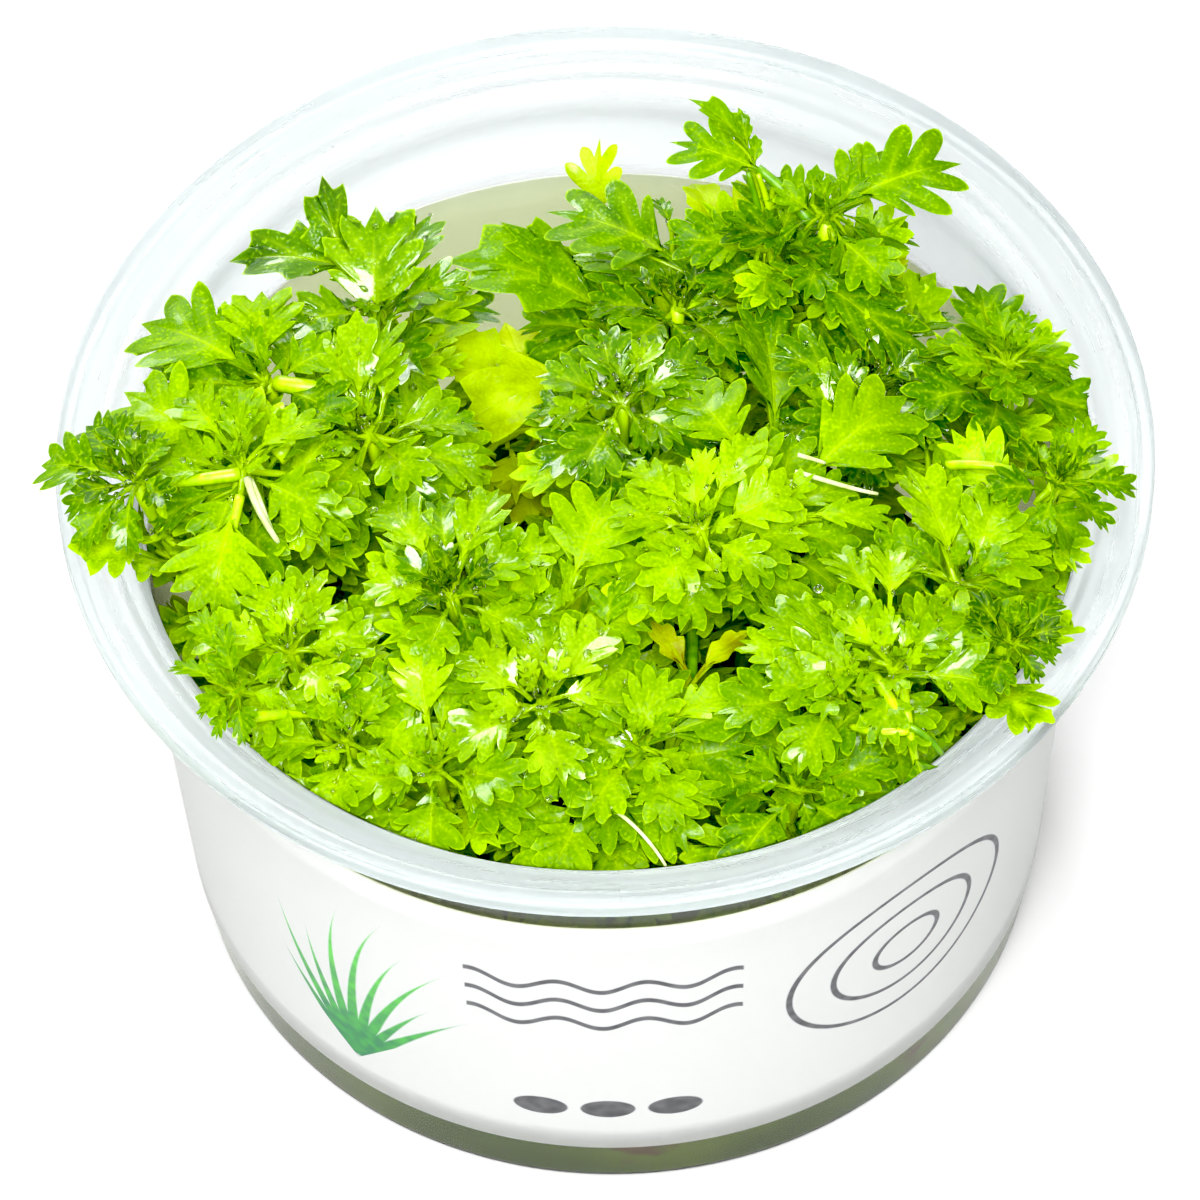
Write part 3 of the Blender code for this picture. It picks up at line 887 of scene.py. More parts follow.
    ),
    Shoot(
        "dark_heart", At(450, 590, 69), Tone.BRIGHT, wet=0.7, heart_tone=Tone.SHADED_HEART, young=10,
        leaves=(
            Leaf(500, 488, 71, 0.66, Form.FAN, base=At(458, 572, 69)),
            Leaf(552, 534, 69, 0.75, Form.FINGER, base=At(492, 584, 68), fold=6),
            Leaf(384, 500, 66, 0.5),
            Leaf(440, 498, 68, 0.45, tone=Tone.MID),
            Leaf(388, 560, 66, 0.5, tone=Tone.MID),
            Leaf(398, 622, 65, 0.5, tone=Tone.DARK),
            Leaf(470, 658, 64, tone=Tone.DARK),
            Leaf(520, 606, 66),
        ),
    ),
    Shoot(
        "centre", At(552, 606, 65), Tone.BRIGHT,
        leaves=(
            Leaf(612, 486, 69, 0.78, Form.FINGER, base=At(566, 600, 66), fold=4),
            Leaf(616, 574, 67, 0.62, Form.FINGER, Tone.MID, base=At(606, 642, 64)),
            Leaf(566, 514, 67, 0.5, base=At(548, 580, 66)),
            Leaf(636, 552, 66, base=At(572, 600, 65)),
            Leaf(496, 640, 62, tone=Tone.PALE),
            Leaf(598, 650, 62, tone=Tone.PALE),
            Leaf(545, 665, 61, tone=Tone.PALE),
        ),
    ),
    Shoot(
        "lower_left_small", At(236, 688, 68), Tone.MID, over_rim=True, own_stem=False, fill=2, fill_length=5,
        leaves=(
            Leaf(168, 668, 66.5, 0.4),
            Leaf(198, 720, 66, 0.42),
            Leaf(216, 741, 65.8, 0.42),
            Leaf(246, 747, 65.8, 0.42),
            Leaf(286, 706, 66.5, 0.55, tone=Tone.BRIGHT),
            Leaf(196, 610, 68, 0.42, base=At(228, 668, 68)),
            Leaf(222, 622, 69, 0.45),
        ),
    ),
    Shoot(
        "lower_left_bright", At(288, 648, 66), Tone.PALE, wet=0.8,
        leaves=(
            Leaf(272, 598, 68),
            Leaf(300, 588, 69, 0.5),
            Leaf(340, 603, 68),
            Leaf(352, 655, 65),
            Leaf(318, 728, 61, 0.5, tone=Tone.BRIGHT),
            Leaf(245, 640, 66, tone=Tone.BRIGHT),
        ),
    ),
    Shoot(
        "lower_left", At(345, 738, 63), Tone.BRIGHT, wet=0.6,
        leaves=(
            Leaf(352, 647, 66, 0.62, Form.FAN, Tone.MID, base=At(320, 728, 62)),
            Leaf(394, 664, 65, tone=Tone.MID, base=At(352, 722, 63)),
            Leaf(316, 792, 59, tone=Tone.MID),
            Leaf(248, 742, 61, 0.45, base=At(312, 752, 61)),
            Leaf(296, 692, 64, 0.5),
            Leaf(402, 776, 61),
            Leaf(360, 806, 59),
        ),
    ),
    Shoot(
        "lower_left_upright", At(434, 765, 62), Tone.BRIGHT, wet=0.5,
        leaves=(
            Leaf(418, 638, 68, 0.7, Form.FEATHER, Tone.PALE, base=At(430, 735, 63)),
            Leaf(384, 714, 63, 0.5),
            Leaf(458, 664, 65, 0.42),
            Leaf(482, 742, 63),
            Leaf(502, 822, 58, 0.5),
            Leaf(384, 804, 60, 0.5),
            Leaf(430, 838, 58, tone=Tone.MID),
        ),
    ),
    Shoot(
        "lower_glossy", At(542, 700, 66), Tone.PALE, wet=1.0,
        leaves=(
            Leaf(494, 732, 64),
            Leaf(520, 656, 67),
            Leaf(563, 658, 67),
            Leaf(606, 690, 66, tone=Tone.BRIGHT),
            Leaf(590, 738, 63, tone=Tone.BRIGHT),
            Leaf(535, 750, 63),
        ),
    ),
    Shoot(
        "lower_centre", At(638, 742, 63), Tone.BRIGHT,
        leaves=(
            Leaf(668, 668, 67, 0.8, Form.FAN, Tone.PALE, base=At(634, 742, 63)),
            Leaf(610, 690, 65, 0.5),
            Leaf(786, 704, 62, 0.42, Form.SMOOTH, Tone.MID, base=At(644, 744, 62)),
            Leaf(748, 688, 64, 0.5, base=At(660, 728, 63)),
            Leaf(692, 776, 60),
            Leaf(606, 764, 62),
            Leaf(650, 620, 62, 0.4, Form.SMOOTH, Tone.BROWN, base=At(690, 678, 60)),
            Leaf(750, 630, 62, 0.4, Form.SMOOTH, Tone.BROWN, base=At(696, 678, 60)),
        ),
    ),
    Shoot(
        "lower_front", At(590, 795, 60), Tone.BRIGHT,
        leaves=(
            Leaf(572, 758, 63, 0.5),
            Leaf(608, 756, 63, 0.5),
            Leaf(544, 746, 62, 0.5),
            Leaf(727, 800, 60, 0.38, base=At(608, 795, 60)),
            Leaf(508, 792, 60),
            Leaf(538, 842, 57, 0.7, tone=Tone.MID),
            Leaf(616, 850, 57, 0.7, tone=Tone.MID),
            Leaf(668, 836, 57, 0.7, tone=Tone.MID),
        ),
    ),
    Shoot(
        "lower_right", At(842, 682, 66), Tone.BRIGHT, wet=0.5,
        leaves=(
            Leaf(758, 604, 67, 0.62, Form.FAN, base=At(832, 672, 66)),
            Leaf(792, 594, 68, 0.5),
            Leaf(738, 640, 66, 0.5, base=At(822, 678, 66)),
            Leaf(790, 696, 64, 0.42, tone=Tone.PALE),
            Leaf(818, 600, 68, 0.42),
            Leaf(850, 728, 62, tone=Tone.MID),
            Leaf(884, 720, 63, 0.5, tone=Tone.PALE),
        ),
    ),
    Shoot(
        "right_cluster", At(895, 665, 68), Tone.BRIGHT, own_stem=False, wet=0.6,
        leaves=(
            Leaf(838, 620, 68, 0.42, tone=Tone.PALE),
            Leaf(884, 604, 71, 0.5, tone=Tone.PALE),
            Leaf(915, 620, 70, 0.5, tone=Tone.PALE),
            Leaf(830, 552, 67, 0.7, Form.FAN, base=At(878, 606, 67)),
            Leaf(888, 546, 67, 0.7, Form.FAN, Tone.PALE, base=At(890, 606, 67)),
            Leaf(952, 640, 67, 0.55),
            Leaf(988, 700, 64, 0.7, Form.FAN, Tone.MID, base=At(920, 672, 66)),
            Leaf(842, 656, 67, 0.36),
            Leaf(930, 806, 60, 0.85, Form.FAN, Tone.DARK, base=At(913, 752, 63)),
        ),
    ),
    Shoot(
        "right_low", At(1012, 640, 68), Tone.DARK, over_rim=True, fill=4, fill_length=6,
        heart_tone=Tone.SHADED_HEART,
        leaves=(
            Leaf(1058, 662, 66.3),
            Leaf(1040, 684, 66),
            Leaf(1054, 640, 67, 0.5),
            Leaf(1000, 598, 69, 0.55, tone=Tone.MID),
            Leaf(962, 640, 68, 0.5, tone=Tone.MID),
            Leaf(1062, 600, 68),
            Leaf(1000, 696, 65.8, tone=Tone.MID),
        ),
    ),
    Shoot(
        "old_yellow", At(508, 428, 50), Tone.YELLOW, own_stem=False, young=0, fill=3, fill_length=9,
        leaves=(
            Leaf(420, 335, 51, 0.7, Form.CLEFT, Tone.LEMON, base=At(520, 392, 50)),
            Leaf(505, 322, 50, 0.8, Form.CLEFT, base=At(530, 400, 49)),
            Leaf(456, 430, 55, 0.85, Form.CLEFT, Tone.LEMON, base=At(582, 376, 56), fold=4),
            Leaf(556, 458, 52, 0.7, Form.CLEFT, Tone.PALE, base=At(560, 380, 54)),
            Leaf(590, 440, 50),
            Leaf(440, 520, 48),
        ),
    ),
    Shoot(
        "front_right", At(798, 787, 60), Tone.MID,
        leaves=(
            Leaf(774, 745, 63, 0.5, tone=Tone.BRIGHT),
            Leaf(807, 745, 63, 0.5, tone=Tone.BRIGHT),
            Leaf(830, 768, 62, 0.5, tone=Tone.BRIGHT),
            Leaf(742, 782, 60),
            Leaf(852, 802, 58),
            Leaf(768, 838, 57),
            Leaf(898, 748, 60, 0.85, Form.SMOOTH, Tone.DARK, base=At(850, 775, 59)),
            Leaf(812, 832, 57),
        ),
    ),
)


@dataclass(frozen=True)
class Wire:
    """A number that flows between shader nodes. Arithmetic on it adds Math nodes."""

    graph: "Graph"
    socket: NodeSocket

    def __add__(self, other: "Wire | float") -> "Wire":
        """The sum."""
        return self.graph.math("ADD", self, other)

    def __radd__(self, other: float) -> "Wire":
        """The sum, with the number first."""
        return self.graph.math("ADD", other, self)

    def __sub__(self, other: "Wire | float") -> "Wire":
        """The difference."""
        return self.graph.math("SUBTRACT", self, other)

    def __rsub__(self, other: float) -> "Wire":
        """The difference, with the number first."""
        return self.graph.math("SUBTRACT", other, self)

    def __mul__(self, other: "Wire | float") -> "Wire":
        """The product."""
        return self.graph.math("MULTIPLY", self, other)

    def __rmul__(self, other: float) -> "Wire":
        """The product, with the number first."""
        return self.graph.math("MULTIPLY", other, self)

    def __truediv__(self, other: "Wire | float") -> "Wire":
        """The quotient."""
        return self.graph.math("DIVIDE", self, other)

    def __abs__(self) -> "Wire":
        """The size without its sign."""
        return self.graph.math("ABSOLUTE", self)

    def most(self, other: "Wire | float") -> "Wire":
        """The larger of two."""
        return self.graph.math("MAXIMUM", self, other)

    def least(self, other: "Wire | float") -> "Wire":
        """The smaller of two."""
        return self.graph.math("MINIMUM", self, other)

    def step(self, low: float, high: float) -> "Wire":
        """A smooth step from 0 at low to 1 at high; low may be the larger."""
        settings = {"interpolation_type": "SMOOTHSTEP"}
        ends = {"Value": self, "From Min": low, "From Max": high}
        return Wire(self.graph, self.graph.node("ShaderNodeMapRange", settings, ends).outputs[0])


Value = Wire | float
Colour = Triple


class Graph:
    """The node tree of one material."""

    def __init__(self, name: str) -> None:
        """Makes the material with an empty tree.

        Args:
            name: the material's name.
        """
        self.material = bpy.data.materials.new(name)
        self.material.use_nodes = True
        self.tree = self.material.node_tree
        self.tree.nodes.clear()

    def node(self, kind: str, settings: dict | None = None, inputs: dict | None = None) -> Node:
        """Adds a node.

        Args:
            kind: the node's type.
            settings: its properties, set first. A ramp's stops come under the name stops.
            inputs: values or links of its sockets, by name or number.

        Returns:
            The node.
        """
        made = self.tree.nodes.new(kind)
        for key, value in (settings or {}).items():
            if key == "stops":
                self.set_stops(made.color_ramp, value)
            else:
                setattr(made, key, value)
        for key, value in (inputs or {}).items():
            self.feed(made.inputs[key], value)
        return made

    @staticmethod
    def set_stops(ramp: ColorRamp, stops: Sequence[tuple[float, Colour]]) -> None:
        """Gives a colour ramp its stops."""
        while len(ramp.elements) < len(stops):
            ramp.elements.new(0.5)
        for element, (place, colour) in zip(ramp.elements, stops):
            element.position = place
            element.color = (*colour, 1)

    def feed(self, socket: NodeSocket, value: object) -> None:
        """Sets a socket's value, or links it to a wire or another socket."""
        if isinstance(value, Wire):
            value = value.socket
        if isinstance(value, NodeSocket):
            self.tree.links.new(value, socket)
        elif isinstance(value, tuple) and len(value) == 3 and socket.type == "RGBA":
            socket.default_value = (*value, 1)
        else:
            socket.default_value = value

    def math(self, operation: str, *values: Value) -> Wire:
        """The result of a Math node."""
        made = self.node("ShaderNodeMath", {"operation": operation}, dict(enumerate(values)))
        return Wire(self, made.outputs[0])

    def mix(self, factor: Value, first: object, second: object) -> NodeSocket:
        """A colour between two others."""
        inputs = {0: factor, 6: first, 7: second}
        return self.node("ShaderNodeMix", {"data_type": "RGBA"}, inputs).outputs[2]

    def ramp(self, place: Wire, stops: Sequence[tuple[float, Colour]]) -> NodeSocket:
        """A colour read from a ramp."""
        return self.node("ShaderNodeValToRGB", {"stops": stops}, {0: place}).outputs[0]

    def blend(self, share: Value, first: Node, second: Node) -> NodeSocket:
        """A share of the second shader over the first."""
        inputs = {0: share, 1: first.outputs[0], 2: second.outputs[0]}
        return self.node("ShaderNodeMixShader", None, inputs).outputs[0]

    def translucent(self, colour: Colour) -> Node:
        """A shader that lets light through to the other side."""
        return self.node("ShaderNodeBsdfTranslucent", None, {"Color": colour})

    def length(self, first: Wire, second: Wire) -> Wire:
        """The root of the sum of two squares."""
        return self.math("SQRT", first * first + second * second)

    def position(self, scale: Triple = (1, 1, 1)) -> NodeSocket:
        """The surface's place in the model, in metres, stretched by a scale."""
        place = self.node("ShaderNodeTexCoord").outputs["Object"]
        return self.node("ShaderNodeVectorMath", {"operation": "MULTIPLY"}, {0: place, 1: scale}).outputs[0]

    def axes(self) -> tuple[Wire, Wire, Wire]:
        """The surface's place in the model as three numbers, in millimetres."""
        parts = self.node("ShaderNodeSeparateXYZ", None, {0: self.position((1000, 1000, 1000))})
        return tuple(Wire(self, parts.outputs[k]) for k in range(3))

    def noise(self, scale: float, detail: float, place: object = None, roughness: float = 0.5) -> Wire:
        """Noise from 0 to 1, about 0.5.

        Args:
            scale: how many waves there are in a metre.
            detail: how many finer layers it has.
            place: the vector that it reads, or None for the surface's place.
            roughness: how strong the finer layers are.

        Returns:
            The noise.
        """
        inputs = {
            "Vector": place or self.position(),
            "Scale": scale,
            "Detail": detail,
            "Roughness": roughness,
        }
        return Wire(self, self.node("ShaderNodeTexNoise", None, inputs).outputs["Fac"])

    def bump(self, height: Wire, depth: float, strength: float) -> NodeSocket:
        """A normal roughened by a height.

        Args:
            height: the height.
            depth: how deep a height of 1 is, in millimetres.
            strength: how much of it shows.

        Returns:
            The normal.
        """
        inputs = {"Height": height, "Distance": depth * MM, "Strength": strength}
        return self.node("ShaderNodeBump", None, inputs).outputs[0]

    def principled(self, inputs: dict) -> Node:
        """A Principled shader with these sockets set."""
        return self.node("ShaderNodeBsdfPrincipled", None, inputs)

    def finish(self, surface: NodeSocket, volume: object = None) -> Material:
        """Puts the shader on the material's output and gives the material."""
        inputs = {"Surface": surface}
        if volume is not None:
            inputs["Volume"] = volume
        self.node("ShaderNodeOutputMaterial", None, inputs)
        return self.material


@dataclass(frozen=True)
class LeafFinish:
    """A leaf's skin: greens by tone, paler veins, paler edges that are partly the leaf's own margin and
    partly a painted highlight on its edge, yellow and brown with age, a film of water.
    """

    name: str = "leaf_skin"
    greens: tuple[tuple[float, Colour], ...] = (
        (0.0, (0.012, 0.06, 0.0)),
        (0.25, (0.046, 0.145, 0.0)),
        (0.5, (0.102, 0.237, 0.0)),
        (0.75, (0.184, 0.35, 0.0)),
        (1.0, (0.32, 0.53, 0.004)),
    )
    old: tuple[tuple[float, Colour], ...] = (
        (0.0, (0.12, 0.06, 0.004)),
        (0.45, (0.26, 0.24, 0.004)),
        (0.8, (0.46, 0.58, 0.004)),
        (1.0, (0.58, 0.72, 0.03)),
    )
    vein: Colour = (0.4, 0.6, 0.004)
    # The pale edge colour is partly the leaf's own margin and partly a painted highlight for light caught on
    # the edge; the specks use it too.
    edge: Colour = (0.38, 0.6, 0.006)
    through: Colour = (0.4, 0.7, 0.0)
    share_through: float = 0.42
    least_through: float = 0.4
    tone_through: float = 0.35
    cloud_scale: float = 260
    grain_scale: float = 3000
    wave_scale: float = 420
    specks: Pair = (0.66, 0.74)
    cloud_shade: float = 0.6
    grain_shade: float = 0.3
    base_shade: float = 0.16
    cloud_fade: float = 1.2
    cloud_age: float = 0.2
    ageing: Pair = (0.12, 0.95)
    vein_share: float = 0.65
    edge_highlight_share: float = 0.6
    speck_share: float = 0.3
    film_spread: float = 0.42
    film_least: float = 0.1
    film_edge: Pair = (0.6, 0.68)
    film_most: float = 0.85
    film_roughness: float = 0.09
    water_ior: float = 1.5
    roughness: float = 0.5
    film_gloss: float = 0.4
    grain_roughness: float = 0.3
    specular: float = 0.2
    grain_height: float = 0.08
    vein_depth: float = 0.09
    wave_height: float = 0.7
    relief: Pair = (1.0, 0.8)

    def build(self) -> Material:
        """Makes the material.

        Returns:
            The material, which reads the marks and spots of the mesh it is on.
        """
        g = Graph(self.name)
        marks = g.node("ShaderNodeAttribute", {"attribute_name": "marks"})
        parts = g.node("ShaderNodeSeparateColor", None, {0: marks.outputs["Color"]})
        vein, edge, tone = (Wire(g, parts.outputs[k]) for k in range(3))
        age = Wire(g, marks.outputs["Alpha"])
        spots = g.node("ShaderNodeAttribute", {"attribute_name": "spots"})
        spot_parts = g.node("ShaderNodeSeparateXYZ", None, {0: spots.outputs["Vector"]})
        along, wet = Wire(g, spot_parts.outputs[0]), Wire(g, spot_parts.outputs[1])
        cloud = g.noise(self.cloud_scale, 2) - 0.5
        noise = g.noise(self.grain_scale, 0)
        grain = noise - 0.5
        shade = tone + cloud * self.cloud_shade + grain * self.grain_shade + (0.5 - along) * self.base_shade
        faded = g.ramp(tone + cloud * self.cloud_fade, self.old)
        aged = (age + cloud * self.cloud_age * age).step(*self.ageing)
        colour = g.mix(aged, g.ramp(shade, self.greens), faded)
        colour = g.mix(vein * self.vein_share, colour, self.vein)
        speck = noise.step(*self.specks)
        colour = g.mix(edge * self.edge_highlight_share + speck * self.speck_share, colour, self.edge)
        wave = g.noise(self.wave_scale, 0)
        puddle = wave + wet * self.film_spread - self.film_least
        film = puddle.step(*self.film_edge) * wet.least(self.film_most)
        skin = grain * self.grain_height - vein * self.vein_depth + wave * self.wave_height
        front = g.principled(
            {
                "Base Color": colour,
                "Roughness": self.roughness - film * self.film_gloss + grain * self.grain_roughness,
                "Specular IOR Level": self.specular,
                "Coat Weight": film,
                "Coat Roughness": self.film_roughness,
                "Coat IOR": self.water_ior,
                "Normal": g.bump(skin, *self.relief),
            }
        )
        if not self.share_through:
            return g.finish(front.outputs[0])
        share = (tone * self.tone_through + self.least_through) * self.share_through
        return g.finish(g.blend(share, front, g.translucent(self.through)))


@dataclass(frozen=True)
class StemFinish:
    """A stem's or root's skin, with fine lengthwise streaks."""

    name: str
    light: Colour
    dark: Colour
    roughness: float = 0.38
    streak_scale: float = 900
    streak_stretch: Triple = (1, 1, 0.12)
    contrast: float = 2.2
    grain_scale: float = 2400
    grain_roughness: float = 0.2
    relief: Pair = (0.08, 0.5)

    def build(self) -> Material:
        """Makes the material."""
        g = Graph(self.name)
        streaks = g.noise(self.streak_scale, 2, g.position(self.streak_stretch))
        grain = g.noise(self.grain_scale, 0)
        front = g.principled(
            {
                "Base Color": g.mix((streaks - 0.5) * self.contrast + 0.5, self.dark, self.light),
                "Roughness": self.roughness + (grain - 0.5) * self.grain_roughness,
                "Normal": g.bump(streaks, *self.relief),
            }
        )
        return g.finish(front.outputs[0])


@dataclass(frozen=True)
class PlasticFinish:
    """Clear plastic that absorbs a little red, with a faint haze; its flange is frosted and milky."""

    clear: Colour = (0.975, 0.98, 0.98)
    tint: Colour = (0.72, 0.93, 0.925)
    milk: Colour = (0.83, 0.87, 0.875)
    density: float = 60.0
    ior: float = 1.4
    transmission: float = 0.985
    haze_scale: float = 60
    streak_stretch: Triple = (1.1, 2.5, 0.6)
    frost_heights: Pair = (58.2, 60.6)
    strip_heights: Pair = (50.0, 52.5)
    roughness: float = 0.04
    haze_roughness: float = 0.05
    frost_roughness: float = 0.12
    streak_roughness: float = 0.2
    least_milk: float = 0.01
    frost_milk: float = 0.16
    streak_milk: float = 0.5
    strip_milk: float = 0.3

    def build(self) -> Material:
        """Makes the material."""
        g = Graph("clear_tub")
        x, y, z = g.axes()
        around, turned_by, upward = self.streak_stretch
        lines = {0: g.length(x, y) * around, 1: g.math("ARCTAN2", x, y) * turned_by, 2: z * upward}
        streaks = g.noise(1.0, 2, g.node("ShaderNodeCombineXYZ", None, lines).outputs[0])
        haze = g.noise(self.haze_scale, 0)
        frost = z.step(*self.frost_heights)
        frosted = frost * (self.frost_roughness + streaks * self.streak_roughness)
        surface = g.principled(
            {
                "Base Color": self.clear,
                "Roughness": self.roughness + haze * self.haze_roughness + frosted,
                "IOR": self.ior,
                "Transmission Weight": self.transmission,
            }
        )
        strip = z.step(*self.strip_heights) * (1 - frost)
        cloud = frost * (self.frost_milk + streaks * self.streak_milk) + strip * self.strip_milk
        both = g.blend(cloud + self.least_milk, surface, g.translucent(self.milk))
        depth = {"Color": self.tint, "Density": self.density}
        volume = g.node("ShaderNodeVolumeAbsorption", None, depth)
        return g.finish(both, volume.outputs[0])


@dataclass(frozen=True)
class RippleMotif:
    """Rings spreading from a falling drop, on the right of the front, in millimetres on the band."""

    centre: Pair = (30.0, 30.0)
    squash: float = 1.6
    first: float = 4.0
    gap: float = 2.4
    line: Pair = (0.46, 0.26)
    reach: Pair = (15.5, 15.0)

    def drawn(self, along: Wire, height: Wire) -> Wire:
        """1 on the rings, from the distance round the band from its front and the height."""
        g = along.graph
        aside, above = along - self.centre[0], height - self.centre[1]
        far = g.math("SQRT", aside * aside + above * above * self.squash)
        return g.math("PINGPONG", far - self.first, self.gap).step(*self.line) * far.step(*self.reach)


@dataclass(frozen=True)
class WaveMotif:
    """Three wave lines over a row of pebbles, in the middle of the front."""

    height: float = 35.5
    swell: float = 0.9
    turns: float = 0.75
    gap: float = 1.75
    line: Pair = (0.5, 0.3)
    rows: Pair = (4.6, 4.4)
    middle: float = -1.9
    reach: Pair = (13.6, 13.4)
    pebble_height: float = 15.0
    pebble_gap: float = 3.4
    pebble_start: float = -15.5
    pebble_flat: Pair = (0.13, 0.36)
    pebble_edge: Pair = (1.1, 0.9)
    pebble_reach: Pair = (10.3, 10.1)

    def drawn(self, along: Wire, height: Wire) -> Wire:
        """1 on the waves and pebbles."""
        g = along.graph
        swell = height - g.math("SINE", along * self.turns) * self.swell - self.height
        lines = g.math("PINGPONG", swell, self.gap).step(*self.line) * abs(swell).step(*self.rows)
        aside = g.math("PINGPONG", along - self.pebble_start, self.pebble_gap)
        above = height - self.pebble_height
        wide, high = self.pebble_flat
        pebbles = (aside * aside * wide + above * above * high).step(*self.pebble_edge)
        from_middle = abs(along - self.middle)
        return (lines * from_middle.step(*self.reach)).most(pebbles * from_middle.step(*self.pebble_reach))


@dataclass(frozen=True)
class GrassMotif:
    """Blades of grass that fan out from one foot, on the left of the front."""

    foot: Pair = (-29.0, 12.0)
    turn: float = 0.15
    reach: float = 31.0
    droop: float = 0.18
    longest: float = 1.05
    shorter: float = 0.1
    uneven: Pair = (2.6, 0.1)
    thickness: float = 1.1
    foot_width: Pair = (-0.02, 0.12)
    edge: Pair = (0.0, 0.25)
    blades: Pair = (5.0, 4.0)

    def drawn(self, along: Wire, height: Wire) -> Wire:
        """1 on the blades."""
        g = along.graph
        aside, above = along - self.foot[0], height - self.foot[1]
        reach = g.length(aside, above) / self.reach
        turn = g.math("ARCTAN2", aside, above) - reach * reach * self.droop
        blade = g.math("ROUND", turn / self.turn)
        from_middle = abs(turn - blade * self.turn) * reach * self.reach
        often, much = self.uneven
        tip = self.longest - abs(blade) * self.shorter - g.math("SINE", blade * often) * much
        thick = (1 - reach / tip) * self.thickness * reach.step(*self.foot_width)
        return (thick - from_middle).step(*self.edge) * abs(blade).step(*self.blades)


@dataclass(frozen=True)
class PaperFinish:
    """White paper with a plain water motif: ripples, waves, pebbles and blades of grass. Its inner face lets
    far more light through, tinted yellow-green: painted light from the plants.
    """

    paper: Colour = (0.91, 0.92, 0.935)
    dull_paper: Colour = (0.7, 0.71, 0.72)
    ink: Colour = (0.035, 0.035, 0.04)
    deep: Colour = (0.004, 0.15, 0.05)
    light: Colour = (0.1, 0.5, 0.05)
    # The yellow-green tint of the light let through is painted green light from the plants.
    through: Colour = (0.96, 1.0, 0.76)
    radius: float = 45.3
    fibre_scale: float = 900
    fibre_dull: float = 0.1
    ink_cover: float = 0.9
    fibre_ink: float = 0.1
    grass_range: Pair = (12, 30)
    fibre_grass: float = 0.8
    roughness: float = 0.48
    fibre_roughness: float = 0.15
    relief: Pair = (0.05, 0.4)
    inside_edge: Pair = (0.3, 0.2)
    share_through: float = 0.47
    ink_stops: float = 0.42
    painted_inside_light: float = 0.85

    def build(self) -> Material:
        """Makes the material."""
        g = Graph("band_paper")
        x, y, z = g.axes()
        along = g.math("ARCTAN2", x, y * -1.0) * self.radius
        fibre = g.noise(self.fibre_scale, 0)
        rough = fibre - 0.5
        colour = g.mix((rough * self.fibre_dull).most(0.0), self.paper, self.dull_paper)
        drawn = RippleMotif().drawn(along, z).most(WaveMotif().drawn(along, z))
        dark = drawn * (self.ink_cover + fibre * self.fibre_ink)
        foot, height = self.grass_range
        greener = ((z - foot) / height + rough * self.fibre_grass).least(1.0).most(0.0)
        grass = GrassMotif().drawn(along, z)
        colour = g.mix(grass, g.mix(dark, colour, self.ink), g.mix(greener, self.deep, self.light))
        paper = g.principled(
            {
                "Base Color": colour,
                "Roughness": self.roughness + rough * self.fibre_roughness,
                "Normal": g.bump(fibre, *self.relief),
            }
        )
        # The inner face lets far more light through than the outer one, so that it shows lighter: painted
        # light.
        inside = (g.length(x, y) - z * WALL_SLOPE - WALL_FOOT_RADIUS).step(*self.inside_edge)
        outward = self.share_through - dark.most(grass) * self.ink_stops
        share = outward.most(inside * self.painted_inside_light)
        return g.finish(g.blend(share, paper, g.translucent(self.through)))


@dataclass(frozen=True)
class GelFinish:
    """Olive jelly, clouded and flecked with brown."""

    olive: Colour = (0.05, 0.085, 0.0)
    pale: Colour = (0.095, 0.14, 0.002)
    brown: Colour = (0.085, 0.035, 0.012)
    cloud_scale: float = 45
    cloud_range: Pair = (0.35, 0.65)
    fleck_scale: float = 75
    fleck_roughness: float = 0.65
    fleck_range: Pair = (0.6, 0.7)
    fleck_share: float = 0.85
    specular: float = 0.2
    roughness: float = 0.25
    cloud_roughness: float = 0.1
    ior: float = 1.34
    relief: Pair = (2.0, 0.4)

    def build(self) -> Material:
        """Makes the material."""
        g = Graph("nutrient_jelly")
        cloud = g.noise(self.cloud_scale, 2)
        fleck = g.noise(self.fleck_scale, 3, roughness=self.fleck_roughness)
        colour = g.mix(cloud.step(*self.cloud_range), self.olive, self.pale)
        colour = g.mix(fleck.step(*self.fleck_range) * self.fleck_share, colour, self.brown)
        jelly = g.principled(
            {
                "Base Color": colour,
                "Specular IOR Level": self.specular,
                "Roughness": self.roughness + cloud * self.cloud_roughness,
                "IOR": self.ior,
                "Normal": g.bump(cloud, *self.relief),
            }
        )
        return g.finish(jelly.outputs[0])


@dataclass(frozen=True)
class WaterFinish:
    """Clean water."""

    clear: Colour = (1.0, 1.0, 1.0)
    ior: float = 1.33
    ripple_scale: float = 500
    roughness: float = 0.02

    def build(self) -> Material:
        """Makes the material."""
        g = Graph("water")
        drop = g.principled(
            {
                "Base Color": self.clear,
                "Roughness": g.noise(self.ripple_scale, 2) * self.roughness,
                "IOR": self.ior,
                "Transmission Weight": 1.0,
            }
        )
        return g.finish(drop.outputs[0])


@dataclass(frozen=True)
class FloorFinish:
    """A pale, matt floor."""

    pale: Colour = (0.52, 0.52, 0.52)
    darker: Colour = (0.48, 0.48, 0.48)
    cloud_scale: float = 3
    cloud_share: float = 0.1
    roughness: float = 0.9

    def build(self) -> Material:
        """Makes the material."""
        g = Graph("pale_floor")
        colour = g.mix(g.noise(self.cloud_scale, 1) * self.cloud_share, self.pale, self.darker)
        floor = g.principled({"Base Color": colour, "Roughness": self.roughness})
        return g.finish(floor.outputs[0])


